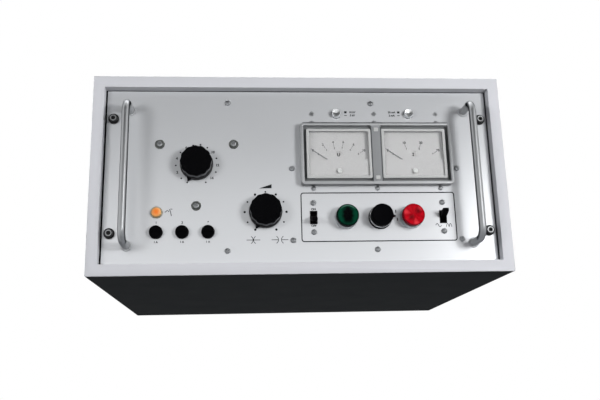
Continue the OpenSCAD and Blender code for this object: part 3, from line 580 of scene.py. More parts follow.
def red_lens():
    """Bright red lens: two deep spots across its middle, facets between them, and painted pale highlight
    streaks towards its rim.
    """
    finish = Finish("red_lens", Specular_IOR_Level=0.04)
    x, z = middle_of("red_button")
    radius, angle = finish.around(x, z)
    share = finish.clip(radius / (LENS_RADIUS * MM))
    speck = finish.noise(420.0, 2.0)
    facet = finish.maths("SINE", angle * 9.0 + 0.8) * 0.5 + 0.5
    near, _ = finish.around(x - 3.0 * MM, z - 3.6 * MM)
    far, _ = finish.around(x + 5.4 * MM, z + 4.2 * MM)
    spot = finish.clip(1.15 - finish.smaller(near / (4.4 * MM), far / (4.8 * MM)))
    tone = finish.clip(facet * 0.5 + share * 0.4 + (speck - 0.5) * 0.3)
    pale = finish.blend(tone, shaded(colours().red, 0.66), colours().red)
    # Painted highlight: pale streaks in three directions, stronger towards the rim.
    painted_highlight_streaks = finish.clip(finish.maths("SINE", angle * 3.0 - 0.6) * 1.6 - 0.7) * finish.clip(share * 2.2 - 0.6)
    pale = finish.blend(painted_highlight_streaks * 0.6, pale, srgb(232, 66, 76))
    deep = finish.blend(spot, pale, srgb(104, 4, 14))
    finish.set("Base Color", finish.blend(finish.clip((share - 0.86) * 8.0), deep, srgb(124, 8, 26)))
    finish.set("Roughness", 0.20 + speck * 0.1)
    finish.bump(facet, 0.0001)
    return finish.material


def orange_lens():
    """Orange lamp lens, deeper in its middle."""
    finish = Finish("orange_lens", Coat_Weight=0.1, Coat_Roughness=0.1, Specular_IOR_Level=0.25)
    radius, _ = finish.around(*middle_of("lamp_lens"))
    share = finish.clip(radius / (LAMP_RADIUS * MM))
    speck = finish.noise(700.0, 2.0)
    rim = finish.clip(share ** 2.0 + (speck - 0.5) * 0.12)
    finish.set("Base Color", finish.blend(rim, colours().orange, srgb(246, 186, 116)))
    finish.set("Roughness", 0.18 + speck * 0.1)
    return finish.material


def turned_face():
    """The range buttons' turned metal: fine rings about each button's axis."""
    finish = Finish("turned_face", Metallic=1.0)
    left, _ = finish.around(*middle_of("range_button_left"))
    right, _ = finish.around(*middle_of("range_button_right"))
    near = finish.smaller(left, right)
    rings = finish.maths("SINE", near * 26000.0) * 0.5 + 0.5
    smudge = finish.noise(90.0, 2.0)
    finish.set("Base Color", finish.blend(smudge, srgb(214, 216, 218), srgb(238, 240, 241)))
    finish.set("Roughness", 0.20 + smudge * 0.08 + rings * 0.05)
    finish.bump(rings, 0.000006)
    return finish.material


def wound(name, colour, turns, axis_x, axis_z):
    """Enamelled wire: turns that run about an axis along Y."""
    finish = Finish(name, Metallic=0.6)
    _, angle = finish.around(axis_x, axis_z)
    ridge = finish.maths("SINE", angle * turns) * 0.5 + 0.5
    patch = finish.noise(30.0, 2.0)
    tone = finish.clip(ridge * 0.6 + patch * 0.4)
    finish.set("Base Color", finish.blend(tone, shaded(colour, 0.6), colour))
    finish.set("Roughness", 0.34 + patch * 0.1)
    finish.bump(ridge, 0.0002)
    return finish.material


FINISHES = {}


def finish_of(maker):
    """The material that a function makes, made once."""
    if maker not in FINISHES:
        FINISHES[maker] = maker()
    return FINISHES[maker]


# Modelling


def fresh():
    """Leaves edit mode and deselects everything."""
    if bpy.context.object and bpy.context.object.mode != "OBJECT":
        bpy.ops.object.mode_set(mode="OBJECT")
    bpy.ops.object.select_all(action="DESELECT")


def take(*pieces):
    """Selects these pieces alone, the first one active."""
    fresh()
    for piece in pieces:
        piece.select_set(True)
    bpy.context.view_layer.objects.active = pieces[0]
    return pieces[0]


def edit(piece):
    """Opens a piece in edit mode, selected all over."""
    take(piece)
    bpy.ops.object.mode_set(mode="EDIT")
    bpy.ops.mesh.select_all(action="SELECT")


def settle_place(piece):
    """Puts a piece's place, turn and scale into its mesh."""
    take(piece)
    bpy.ops.object.transform_apply(location=True, rotation=True, scale=True)


def pick(piece, test):
    """Selects the vertices of a piece in edit mode that pass a test."""
    bpy.ops.object.mode_set(mode="OBJECT")
    for face in piece.data.polygons:
        face.select = False
    for edge in piece.data.edges:
        edge.select = False
    for vertex in piece.data.vertices:
        vertex.select = test(vertex)
    bpy.ops.object.mode_set(mode="EDIT")


def close_up(piece):
    """Merges doubled points, points the faces outwards and leaves edit mode."""
    edit(piece)
    bpy.ops.mesh.remove_doubles(threshold=1e-6)
    bpy.ops.mesh.normals_make_consistent(inside=False)
    fresh()


def disc(sides, radius, place=(0, 0, 0), filling="NGON"):
    """A flat circle, filled or open, to start a shape from."""
    fresh()
    bpy.ops.mesh.primitive_circle_add(vertices=sides, radius=radius, fill_type=filling, location=place)
    return bpy.context.object


def square(place=(0, 0, 0)):
    """A flat square one metre wide, to start a shape from."""
    fresh()
    bpy.ops.mesh.primitive_plane_add(size=1, location=place)
    return bpy.context.object


def draw_out(x, y, z):
    """Extrudes what is selected along a way in metres."""
    bpy.ops.mesh.extrude_region_move(TRANSFORM_OT_translate={"value": (x, y, z)})


def turned(profile, sides=72, ring=False, flutes=0, flute_depth=0.0):
    """A turned shape: a circle drawn up from ring to ring of a profile of (radius, height) in millimetres.

    A ring's profile closes on itself, and a fluted outline keeps its shape all the way up.
    """
    steps = 10
    radius, height = profile[0]
    piece = disc(flutes * steps or sides, radius * MM, (0, 0, height * MM), "NOTHING" if ring else "NGON")
    edit(piece)
    for phase in range(1, steps if flutes else 0):
        pick(piece, lambda vertex: vertex.index % steps == phase)
        deep = flute_depth * (1 - math.cos(math.tau * phase / steps)) / 2
        share = 1 - deep / radius
        bpy.ops.transform.resize(value=(share, share, 1), center_override=(0, 0, height * MM))
    bpy.ops.mesh.select_all(action="SELECT")
    for next_radius, next_height in [*profile[1:], *(profile[:1] if ring else [])]:
        draw_out(0, 0, (next_height - height) * MM)
        share = next_radius / radius
        bpy.ops.transform.resize(value=(share, share, 1), center_override=(0, 0, next_height * MM))
        radius, height = next_radius, next_height
    close_up(piece)
    settle_place(piece)
    return piece


def plate(width, tall, low, high, corner=0.0, x=0.0, y=0.0):
    """A plate between two heights, its corners rounded, in millimetres."""
    piece = square((x * MM, y * MM, low * MM))
    piece.scale = (width * MM, tall * MM, 1)
    settle_place(piece)
    edit(piece)
    if corner:
        bpy.ops.mesh.bevel(offset=corner * MM, segments=6, affect="VERTICES")
        bpy.ops.mesh.select_all(action="SELECT")
    draw_out(0, 0, (high - low) * MM)
    close_up(piece)
    return piece


def outline(points):
    """A flat shape through points in metres: a filled circle with its points moved."""
    piece = disc(len(points), MM)
    for vertex, (x, y) in zip(piece.data.vertices, points):
        vertex.co = (x, y, 0)
    return piece


def modified(piece, kind, **settings):
    """Adds a modifier and applies it."""
    take(piece)
    modifier = piece.modifiers.new(kind.lower(), kind)
    for key, value in settings.items():
        setattr(modifier, key, value)
    bpy.ops.object.modifier_apply(modifier=modifier.name)
    return piece


def carved(piece, *cutters):
    """Cuts other pieces out of a piece."""
    for cutter in cutters:
        modified(piece, "BOOLEAN", operation="DIFFERENCE", object=cutter, solver="EXACT")
        bpy.data.objects.remove(cutter)
    return piece


def broken_edges(piece, width, segments=2):
    """Rounds a piece's sharp edges by a width in metres."""
    return modified(piece, "BEVEL", width=width, segments=segments, limit_method="ANGLE",
                    angle_limit=math.radians(40), use_clamp_overlap=True)


def joined(*pieces):
    """Several pieces as one object."""
    piece = take(*pieces)
    bpy.ops.object.join()
    return piece


def twin(piece):
    """A copy of a piece with its own mesh."""
    made = bpy.data.objects.new(piece.name, piece.data.copy())
    bpy.context.scene.collection.objects.link(made)
    return made


def seated(piece, x, z, turn=0.0):
    """Stands a piece on the panel's face at x and z in metres, turned clockwise in degrees."""
    upright = Matrix.Rotation(math.pi / 2, 4, "X")
    piece.matrix_world = (Matrix.Translation((x, FACE_Y, z)) @ upright
                          @ Matrix.Rotation(-math.radians(turn), 4, "Z"))
    settle_place(piece)
    return piece


def seated_at(piece, places, turns=(0.0,)):
    """One object with a copy of a piece at every place on the panel."""
    made = []
    for i, (x, z) in enumerate(places):
        made.append(seated(twin(piece), x, z, turns[i % len(turns)]))
    bpy.data.objects.remove(piece)
    return joined(*made)


def merged_copy(node):
    """A copy of a node's solid with its triangles merged into whole faces."""
    piece = bpy.data.objects.new(node + "_copy", frame["nodes"][node].data.copy())
    bpy.context.scene.collection.objects.link(piece)
    edit(piece)
    bpy.ops.mesh.remove_doubles(threshold=1e-6)
    bpy.ops.mesh.dissolve_limited(angle_limit=math.radians(0.5))
    fresh()
    return piece


def finished(piece, name, maker, body, slot, *nodes):
    """Names and shades a piece, gives it its finish, and lets it ride a body in place of some nodes."""
    piece.name = name
    piece.data.name = name
    piece.data.materials.clear()
    piece.data.materials.append(finish_of(maker))
    take(piece)
    bpy.ops.object.shade_smooth_by_angle(angle=math.radians(32))
    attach(piece, body)
    if nodes:
        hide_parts(*nodes)
    return piece


def softened(node, name, maker, body, slot, width, segments=2):
    """A node's own shape with its edges broken."""
    piece = broken_edges(merged_copy(node), width, segments)
    return finished(piece, name, maker, body, slot, node)


def dressed(maker, *nodes):
    """Gives nodes that keep their own shape a finish."""
    for node in nodes:
        mesh = frame["nodes"][node].data
        mesh.materials.clear()
        mesh.materials.append(finish_of(maker))


class Print:
    """Marks on a flat surface, gathered into one thin piece. Places are in metres from the print's middle."""

    def __init__(self):
        self.marks = []

    def shape(self, *points):
        """A filled outline."""
        self.marks.append(outline(points))

    def line(self, start, end, width):
        """A straight stroke."""
        start = Vector(start)
        end = Vector(end)
        side = (end - start).normalized().orthogonal() * width / 2
        self.shape(start - side, end - side, end + side, start + side)

    def stroke(self, points, width):
        """A stroke through several points."""
        for start, end in zip(points, points[1:]):
            self.line(start, end, width)

    def dot(self, x, y, size):
        """A round dot."""
        angles = [math.tau * i / 20 for i in range(20)]
        self.shape(*[(x + size / 2 * math.cos(a), y + size / 2 * math.sin(a)) for a in angles])

    def arc(self, x, y, radius, start, end, width):
        """Part of a circle, between two angles in degrees."""
        angles = [math.radians(start + (end - start) * i / 12) for i in range(13)]
        self.stroke([(x + radius * math.cos(a), y + radius * math.sin(a)) for a in angles], width)

    def words(self, text, x, y, tall):
        """Figures or signs of one height."""
        fresh()
        bpy.ops.object.text_add(location=(x, y, 0))
        mark = bpy.context.object
        mark.data.body = text
        mark.data.size = tall * 1.4
        mark.data.offset = tall * 0.07
        mark.data.align_x = "CENTER"
        mark.data.align_y = "CENTER"
        bpy.ops.object.convert(target="MESH")
        mark = bpy.context.object
        settle_place(mark)
        self.marks.append(mark)

    def made(self, lift):
        """The marks as one piece, as thick as a print stands up."""
        piece = joined(*self.marks)
        modified(piece, "SOLIDIFY", thickness=lift, offset=0.0)
        close_up(piece)
        return piece


def at_clock(radius, degrees):
    """A point on a circle, by an angle clockwise from straight up."""
    angle = math.radians(degrees)
    return radius * math.sin(angle), radius * math.cos(angle)


# Case and front frame


class TESTER_OT_case(bpy.types.Operator):
    """Finishes the sleeve and rear panel, and breaks the edges of the front frame"""

    bl_idname = "tester.case"
    bl_label = "Case and frame"

    def execute(self, context):
        softened("front_frame", "front_frame_edges", frame_coat, "case", "frame_grey", sizes().frame_edge, 3)
        dressed(case_coat, "case_shell", "rear_panel")
        return {"FINISHED"}


# Panel and its prints


def on_print(place):
    """A place on the panel, counted from the panel's middle as a print is."""
    x, z = place
    return x - PANEL_X, z - PANEL_Z


def voltage_scale(marks):
    """Dots and even figures around the voltage knob."""
    x, z = on_print(axis_of("voltage_turn"))
    step = 20.5
    for i in range(16):
        across, upward = at_clock(SCALE_RADIUS * MM, VOLTAGE_START + i * step)
        if i and i % 2 == 0:
            marks.words(str(i), x + across, z + upward, 3.1 * MM)
        else:
            marks.dot(x + across, z + upward, 2.1 * MM)


def gap_scale(marks):
    """Large and small dots around the gap knob, and its wedge and contact signs."""
    x, z = on_print(axis_of("gap_turn"))
    step = 30.0
    for i in range(11):
        across, upward = at_clock(SCALE_RADIUS * MM, GAP_START + i * step)
        marks.dot(x + across, z + upward, (2.2 if i % 2 else 3.0) * MM)
    marks.shape((x - 7.9 * MM, z + 30.0 * MM), (x + 7.7 * MM, z + 30.2 * MM), (x + 7.8 * MM, z + 35.3 * MM))
    row = z - 34.9 * MM
    thin = 0.75 * MM
    bow = 5.2 * MM
    for touch, apart, reach in ((x - 15.3 * MM, 0.3 * MM, 8.3 * MM), (x + 17.0 * MM, 1.8 * MM, 10.2 * MM)):
        for side in (-1, 1):
            edge = touch + side * apart
            facing = 0 if side < 0 else 180
            marks.arc(edge + side * bow, row, bow, facing - 58, facing + 58, thin)
            marks.line((edge, row), (touch + side * reach, row), thin)


def lever_signs(marks):
    """ON and OFF at the mains lever, and the two wave forms under the wave lever."""
    x, z = on_print(axis_of("mains_flip"))
    marks.words("ON", x, z + 10.4 * MM, 2.6 * MM)
    marks.words("OFF", x, z - 10.6 * MM, 2.6 * MM)
    x, z = on_print(axis_of("wave_flip"))
    row = z - 11.0 * MM
    tall = 2.2 * MM
    half = 3.6 * MM
    steps = 24
    for side in (-1, 1):
        points = []
        for i in range(steps + 1):
            swing = math.sin(math.tau * i / steps)
            height = swing if side < 0 else 2 * abs(swing) - 1
            points.append((x + side * 6.6 * MM + (i / steps - 0.5) * 2 * half, row + tall * height))
        marks.stroke(points, 0.7 * MM)


def range_signs(marks):
    """A block, a dash and two figures beside each range button."""
    half = 1.6 * MM
    for node, side, figures in (("range_button_left", 1, ("10 kV", "5 kV")),
                                ("range_button_right", -1, ("20 mA", "2 mA"))):
        x, z = on_print(middle_of(node))
        x += side * 12.5 * MM
        low = z + 1.4 * MM
        high = z + 4.2 * MM
        marks.shape((x - half, low), (x + half, low), (x + half, high), (x - half, high))
        marks.line((x - half, z - half), (x + half, z - half), 0.9 * MM)
        for figure, rise in zip(figures, (2.8, -1.6)):
            marks.words(figure, x + side * 8.8 * MM, z + rise * MM, 2.5 * MM)


def fuse_signs(marks):
    """Each fuse's number and current."""
    for i in range(1, 4):
        x, z = on_print(axis_of(f"fuse_unlock_{i}"))
        marks.words(str(i), x, z + 12.0 * MM, 2.6 * MM)
        marks.words("1 A", x, z - 12.0 * MM, 2.4 * MM)


def selector_signs(marks):
    """The selector's two marks."""
    x, z = on_print(axis_of("selector_turn"))
    half = Vector((0, 1.9 * MM))
    for across, upward in ((19.9, 7.9), (21.4, -2.3)):
        place = Vector((x + across * MM, z + upward * MM))
        marks.line(place - half, place + half, 1.3 * MM)


def lamp_sign(marks):
    """The lamp's sign: an arc with a dash, and a falling stroke with a bar."""
    x, z = on_print(middle_of("lamp_lens"))
    x += 11.5 * MM
    thin = 0.8 * MM
    marks.arc(x + 1.6 * MM, z + 0.8 * MM, 1.7 * MM, 0, 180, thin)
    strokes = (
        ((-1.6, 0.8), (-0.1, 0.8)),
        ((4.2, 4.2), (5.6, 0.4), (6.6, -4.4)),
        ((5.2, 4.4), (7.6, 4.4)),
    )
    for points in strokes:
        marks.stroke([(x + across * MM, z + upward * MM) for across, upward in points], thin)


def control_border():
    """The line with rounded corners around the lower controls."""
    left, right, low, high = -1.7, 192.2, -85.4, -22.8
    line = 1.3
    corner = 3.6
    middle = ((left + right) / 2, (low + high) / 2)
    outer = plate(right - left, high - low, 0.0, 1.0, corner, *middle)
    inner = plate(right - left - 2 * line, high - low - 2 * line, -1.0, 2.0, corner - line, *middle)
    piece = carved(outer, inner)
    piece.scale = (1, 1, sizes().ink_lift / MM)
    settle_place(piece)
    return piece


class TESTER_OT_panel(bpy.types.Operator):
    """Finishes the front panel and prints its scales and signs"""

    bl_idname = "tester.panel"
    bl_label = "Panel and prints"

    def execute(self, context):
        dressed(panel_anodise, "front_panel")
        marks = Print()
        for signs in (voltage_scale, gap_scale, lever_signs, range_signs, fuse_signs, selector_signs,
                      lamp_sign):
            signs(marks)
        printed = seated(marks.made(sizes().ink_lift), PANEL_X, PANEL_Z)
        finished(printed, "panel_print", ink, "case", "panel_silver")
        finished(seated(control_border(), PANEL_X, PANEL_Z), "control_border", ink, "case", "panel_silver")
        return {"FINISHED"}


# Fixings


def cross_cutters(long, wide, low, turn=0.0):
    """Two crossed blocks that cut a driver's cross."""
    cutters = []
    for quarter in (0, 90):
        cutter = plate(long, wide, low, low + 6.0)
        cutter.rotation_euler.z = math.radians(turn + quarter)
        settle_place(cutter)
        cutters.append(cutter)
    return cutters


def pan_screw():
    """A pan-head screw with a cross."""
    sink = sink_of("panel_screws")
    head = turned([(1.9, sink), (1.9, 0.0), (3.5, 0.0), (3.5, 0.7), (3.3, 1.4), (2.9, 1.9), (2.2, 2.25),
                   (1.2, 2.4)], 48)
    return carved(head, *cross_cutters(4.4, 0.95, 1.0))


def dome_stud():
    """A round-headed stud."""
    reach = reach_of("meter_studs")
    sink = sink_of("meter_studs")
    return turned([(1.4, sink), (1.4, 0.0), (2.8, 0.0), (2.8, 0.9), (2.5, 1.6), (1.9, reach - 0.15),
                   (0.9, reach)], 40)


def socket_screw(reach):
    """A blackened socket screw."""
    sink = sink_of("rack_screws")
    head = turned([(2.9, sink), (2.9, 1.0), (5.0, 1.0), (5.0, reach - 0.9), (4.7, reach - 0.3), (4.2, reach),
                   (3.9, reach)], 48)
    return carved(head, turned([(2.65, reach - 3.2), (2.65, reach + 2.0)], 6))


def worn_ring(reach):
    """The bright ring that a key has worn around a socket."""
    return turned([(2.62, reach - 0.3), (3.9, reach - 0.3), (3.9, reach + 0.06), (3.3, reach + 0.1),
                   (2.62, reach + 0.02)], 48, ring=True)


def dished_washer():
    """A finishing washer: a sloped outside and a dish for the screw's head."""
    return turned([(2.3, 0.0), (6.0, 0.0), (6.0, 0.5), (5.4, 1.4), (4.8, 2.1), (4.4, 2.4), (4.0, 2.3),
                   (3.75, 1.9), (2.3, 0.5)], 56, ring=True)


def dished_screw():
    """A raised countersunk screw with a cross, sitting in a dished washer."""
    sink = sink_of("setter_screws")
    reach = reach_of("setter_screws")
    head = turned([(1.9, sink), (1.9, 0.4), (3.4, 1.9), (3.3, reach - 0.5), (2.6, reach - 0.15),
                   (1.2, reach)], 48)
    return carved(head, *cross_cutters(4.0, 0.95, reach - 1.4, 20.0))


class TESTER_OT_fixings(bpy.types.Operator):
    """Makes the screws, studs and washers on the front and finishes those at the rear"""

    bl_idname = "tester.fixings"
    bl_label = "Fixings"

    def execute(self, context):
        screws = seated_at(pan_screw(), solids_of("panel_screws", 0.012), (12.0, 47.0, 80.0, 31.0, 64.0))
        finished(screws, "pan_screws", screw_steel, "case", "screw_steel", "panel_screws")
        studs = seated_at(dome_stud(), solids_of("meter_studs", 0.012))
        finished(studs, "bezel_studs", screw_steel, "case", "screw_steel", "meter_studs")
        corners = solids_of("rack_screws", 0.02)
        reach = reach_of("rack_screws")
        sockets = seated_at(socket_screw(reach), corners, (7.0, 38.0, 51.0, 22.0))
        finished(sockets, "socket_screws", black_oxide, "case", "screw_steel", "rack_screws")
        finished(seated_at(worn_ring(reach), corners), "worn_rings", worn_steel, "case", "screw_steel")
        softened("cup_washers", "black_cups", cup_plastic, "case", "washer_black", sizes().fine_edge)
        around_knob = solids_of("finishing_washers", 0.02)
        washers = seated_at(dished_washer(), around_knob)
        finished(washers, "dished_washers", olive_plating, "case", "washer_olive", "finishing_washers")
        heads = seated_at(dished_screw(), around_knob, (0.0, 35.0, 70.0))
        finished(heads, "dished_screws", screw_steel, "case", "washer_olive", "setter_screws")
        dressed(screw_steel, "countersunk_screws", "rear_screws", "handle_bolts")
        return {"FINISHED"}


# Handles


def bar_handle(node):
    """A round bar drawn up from the panel, along and back, on two collars."""
    low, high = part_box(node)
    thick = sizes().bar_radius
    bend = sizes().bar_bend
    foot = sizes().foot_radius
    half = (high.z - low.z) / 2 - foot
    rise = FACE_Y - low.y - thick - bend
    piece = disc(40, thick, (0, half, 0))
    settle_place(piece)
    edit(piece)
    steps = 14
    quarter = -math.pi / 2
    draw_out(0, 0, rise)
    bpy.ops.mesh.spin(steps=steps, angle=quarter, center=(0, half - bend, rise), axis=(1, 0, 0))
    draw_out(0, -2 * (half - bend), 0)
    bpy.ops.mesh.spin(steps=steps, angle=quarter, center=(0, bend - half, rise), axis=(1, 0, 0))
    draw_out(0, 0, -rise)
    close_up(piece)
    radius = thick / MM
    wide = foot / MM
    collars = []
    for side in (-1, 1):
        collar = turned([(radius, 0.0), (wide, 0.0), (wide, 1.0), (wide - 0.35, 1.5), (wide - 1.0, 1.6),
                         (radius, 1.6)], 48, ring=True)
        collar.location.y = side * half
        settle_place(collar)
        collars.append(collar)
    return joined(piece, *collars)


class TESTER_OT_handles(bpy.types.Operator):
    """Draws the two bright bar handles"""

    bl_idname = "tester.handles"
    bl_label = "Handles"

    def execute(self, context):
        for node in ("handle_left", "handle_right"):
            piece = seated(bar_handle(node), *middle_of(node))
            finished(piece, node + "_bar", bright_bar, "case", "handle_bright", node)
        return {"FINISHED"}


# Twin meter


def tick_reach(degrees):
    """Radius of a tick's outer end from the pivot: the ends lie on a flatter circle."""
    drop = 17.0 * MM
    flat_radius = 53.8 * MM
    angle = math.radians(degrees)
    return math.sqrt(flat_radius ** 2 - (drop * math.sin(angle)) ** 2) - drop * math.cos(angle)


def dial_print(joint, outer, inner, sign):
    """Ticks and figures of one dial from its pivot, and its sign as strokes around the sign's middle."""
    marks = Print()
    span = 110.0
    for i, (large, small) in enumerate(zip(outer, inner)):
        turn = -span / 2 + span * i / (len(outer) - 1)
        far = tick_reach(turn)
        marks.words(large, *at_clock(far - 2.9 * MM, turn), 3.0 * MM)
        marks.line(at_clock(far - 9.2 * MM, turn), at_clock(far - 4.9 * MM, turn), 0.5 * MM)
        marks.words(small, *at_clock(far - 11.2 * MM, turn), 2.4 * MM)
    middle = Vector((0.0, 17.2 * MM))
    for points in sign:
        marks.stroke([middle + Vector(point) * MM for point in points], 1.1 * MM)
    return seated(marks.made(sizes().ink_lift), *axis_of(joint))


def window_pane(wide, tall, top):
    """A clear cover with a raised rim and a hole for the zero screw."""
    border = sizes().window_rim / MM
    low = top - 1.8
    pane = carved(plate(wide, tall, low, top + 0.6, 1.6),
                  plate(wide - 2 * border, tall - 2 * border, top - 0.1, top + 2.0, 1.0),
                  turned([(3.4, low - 1.0), (3.4, top + 2.0)], 40))
    return broken_edges(pane, COVER_EDGE * MM)


def window_rim(wide, tall, top):
    """The frosted rim on a cover."""
    border = sizes().window_rim / MM
    rim = carved(plate(wide, tall, top - 0.05, top + 0.7, 1.6),
                 plate(wide - 2 * border, tall - 2 * border, top - 1.0, top + 2.0, 1.0))
    return broken_edges(rim, COVER_EDGE * MM)


def divider_blocks():
    """The two small lugs at the ends of the bar between the windows."""
    x, z = middle_of("meter_bezel")
    low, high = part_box("meter_windows")
    bar_top = 8.4
    lug_height = 0.9
    lug = broken_edges(plate(5.6, 5.0, bar_top, bar_top + lug_height, 0.8), COVER_EDGE * MM)
    offset = (high.z - low.z) / 2 - 0.8 * MM
    return seated_at(lug, [(x, z - offset), (x, z + offset)])


class TESTER_OT_meters(bpy.types.Operator):
    """Makes the meter bezel, covers, dials and zero screws"""

    bl_idname = "tester.meters"
    bl_label = "Twin meter"

    def execute(self, context):
        softened("meter_bezel", "bezel_frame", bezel_metal, "case", "bezel_silver", sizes().bezel_edge, 3)
        low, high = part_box("meter_windows")
        places = solids_of("meter_windows", 0.09)
        wide = ((high.x - low.x) - (places[1][0] - places[0][0])) / MM
        cover = (wide, (high.z - low.z) / MM, (FACE_Y - low.y) / MM)
        panes = seated_at(window_pane(*cover), places)
        finished(panes, "window_panes", window_clear, "case", "window_clear", "meter_windows")
        finished(seated_at(window_rim(*cover), places), "window_rims", rim_plastic, "case", "window_clear")
        finished(divider_blocks(), "divider_lugs", rim_plastic, "case", "bezel_silver")
        dial_height = 2.0 * MM
        voltage_sign = [[(-1.4, 2.0), (-1.4, -1.2), (-0.7, -1.9), (0.7, -1.9), (1.4, -1.2), (1.4, 2.0)]]
        current_sign = [[(0, 2.0), (0, -2.0)], [(-1.0, 1.7), (1.0, 1.7)], [(-1.0, -1.7), (1.0, -1.7)]]
        for side, outer, inner, sign in (("left", "0 2 4 6 8 10", "0 1 2 3 4 5", voltage_sign),
                                         ("right", "0 10 20 30", "0 1 2 3", current_sign)):
            piece = dial_print(f"needle_swing_{side}", outer.split(), inner.split(), sign)
            piece.location.y = -dial_height
            settle_place(piece)
            finished(piece, f"dial_print_{side}", ink, "case", "dial_white")
            softened(f"zero_screw_{side}", f"zero_slot_{side}", white_plastic, f"zero_{side}", "white_plastic",
                     0.2 * MM)
        dressed(needle_paint, "pointer_left", "pointer_right")
        dressed(dial_card, "meter_dials")
        dressed(grey_moulding, "meter_housing")
        dressed(black_moulding, "meter_movements")
        return {"FINISHED"}


# Large knobs


def fluted_cap(reach):
    """The cap of a large knob: fluted sides, a rounded shoulder and a shallow dish."""
    return turned([(19.25, 4.4), (19.25, reach - 1.6), (19.05, reach - 0.8), (18.6, reach - 0.25),
                   (17.9, reach - 0.04), (16.8, reach), (16.0, reach - 0.1), (15.4, reach - 0.5),
                   (8.0, reach - 0.75), (1.0, reach - 0.85)],
                  flutes=sizes().cap_flutes, flute_depth=sizes().flute_depth / MM)


def knob_skirt(bore):
    """The round skirt under a cap."""
    return turned([(bore, 0.6), (20.2, 0.6), (20.5, 1.0), (20.5, 3.3), (20.1, 4.2), (19.4, 4.6), (bore, 4.6)],
                  96, ring=True)


def pointer_nose(wide, long, out, low, thick):
    """The pointer on a knob's edge, with its tip upwards, in millimetres."""
    piece = disc(3, MM)
    piece.scale = (wide, long, 1)
    piece.location = (0, out * MM, low * MM)
    settle_place(piece)
    edit(piece)
    draw_out(0, 0, thick * MM)
    close_up(piece)
    return broken_edges(piece, 0.4 * MM)


class TESTER_OT_large_knobs(bpy.types.Operator):
    """Turns the two large fluted knobs"""

    bl_idname = "tester.large_knobs"
    bl_label = "Large knobs"

    def execute(self, context):
        for kind, turn, bore in (("voltage", VOLTAGE_START, 4.2), ("gap", GAP_START, 3.2)):
            node = kind + "_knob"
            body = kind + "_dial"
            x, z = axis_of(kind + "_turn")
            cap = joined(fluted_cap(reach_of(node)), pointer_nose(5.4, 4.9, 19.7, 0.7, 3.8))
            finished(seated(cap, x, z, turn), kind + "_cap", fluted_plastic, body, "knob_black", node)
            skirt = seated(knob_skirt(bore), x, z, turn)
            finished(skirt, kind + "_skirt", skirt_plastic, body, "knob_black", node)
        return {"FINISHED"}


# Buttons and selector


def button_ring(seat, reach):
    """The ring and barrel that hold a push button: a thin collar stands around the lens."""
    return turned([(9.7, -17.0), (11.0, -17.0), (11.0, 0.0), (14.3, 0.0), (14.3, reach - 0.4), (14.15, reach),
                   (13.95, reach), (13.95, seat), (9.7, seat)], 80, ring=True)


def push_lens(reach):
    """A lens on its plunger: a rounded shoulder and a dished face."""
    return turned([(9.3, -11.9), (9.3, 9.5), (13.3, 9.5), (LENS_RADIUS, 9.9), (LENS_RADIUS, reach - 1.7),
                   (13.45, reach - 0.8), (12.9, reach - 0.2), (12.3, reach), (11.7, reach - 0.1),
                   (11.2, reach - 0.6), (6.0, reach - 1.0), (0.8, reach - 1.15)], 96)


def selector_cap(reach):
    """The selector's cap and stem."""
    return turned([(2.9, -19.9), (2.9, 8.0), (13.5, 8.0), (13.5, reach - 1.5), (13.2, reach - 0.6),
                   (12.5, reach - 0.1), (11.6, reach), (11.0, reach - 0.3), (1.0, reach - 0.45)], 80)


def selector_band():
    """The bright band under the selector's cap."""
    return turned([(3.0, 4.5), (13.7, 4.5), (14.0, 4.8), (14.0, 7.6), (13.6, 8.0), (3.0, 8.0)], 80, ring=True)


def selector_base():
    """The selector's fixed ring and barrel."""
    return turned([(3.1, -17.0), (11.0, -17.0), (11.0, 0.0), (14.7, 0.0), (14.7, 2.8), (14.3, 3.6),
                   (13.6, 4.0), (3.1, 4.0)], 80, ring=True)


def range_cap(reach):
    """A range button with a dished face."""
    return turned([(3.4, -20.0), (3.4, -2.0), (5.6, -2.0), (5.6, reach - 0.9), (5.35, reach - 0.3),
                   (4.9, reach), (4.5, reach - 0.05), (0.4, reach - 1.0)], 64)


class TESTER_OT_buttons(bpy.types.Operator):
    """Turns the push buttons, the selector and the range buttons"""

    bl_idname = "tester.buttons"
    bl_label = "Buttons and selector"

    def execute(self, context):
        places = [middle_of("green_button"), middle_of("red_button")]
        seat = 5.0
        collar = 8.8
        rings = seated_at(button_ring(seat, collar), places)
        finished(rings, "button_rings", ring_grey, "case", "ring_silver", "button_bodies")
        for colour, maker in (("green", green_lens), ("red", red_lens)):
            node = colour + "_button"
            piece = seated(push_lens(reach_of(node)), *middle_of(node))
            finished(piece, colour + "_lens", maker, colour + "_push", colour + "_lens", node)
        place = axis_of("selector_turn")
        node = "selector_knob"
        cap = joined(selector_cap(reach_of(node)), pointer_nose(3.46, 3.9, 13.5, 8.6, 6.2))
        cap = seated(cap, *place, SELECTOR_START)
        finished(cap, "selector_cap", knob_plastic, "selector", "knob_black", node)
        band = seated(selector_band(), *place)
        finished(band, "selector_band", ring_metal, "selector", "ring_silver", node)
        base = seated(selector_base(), *place)
        finished(base, "selector_base", black_moulding, "case", "black_plastic", "selector_switch")
        for side in ("left", "right"):
            node = "range_button_" + side
            piece = seated(range_cap(reach_of(node)), *middle_of(node))
            finished(piece, "range_cap_" + side, turned_face, "range_push_" + side, "ring_silver", node)
        dressed(black_moulding, "range_switches")
        return {"FINISHED"}


# Lever switches


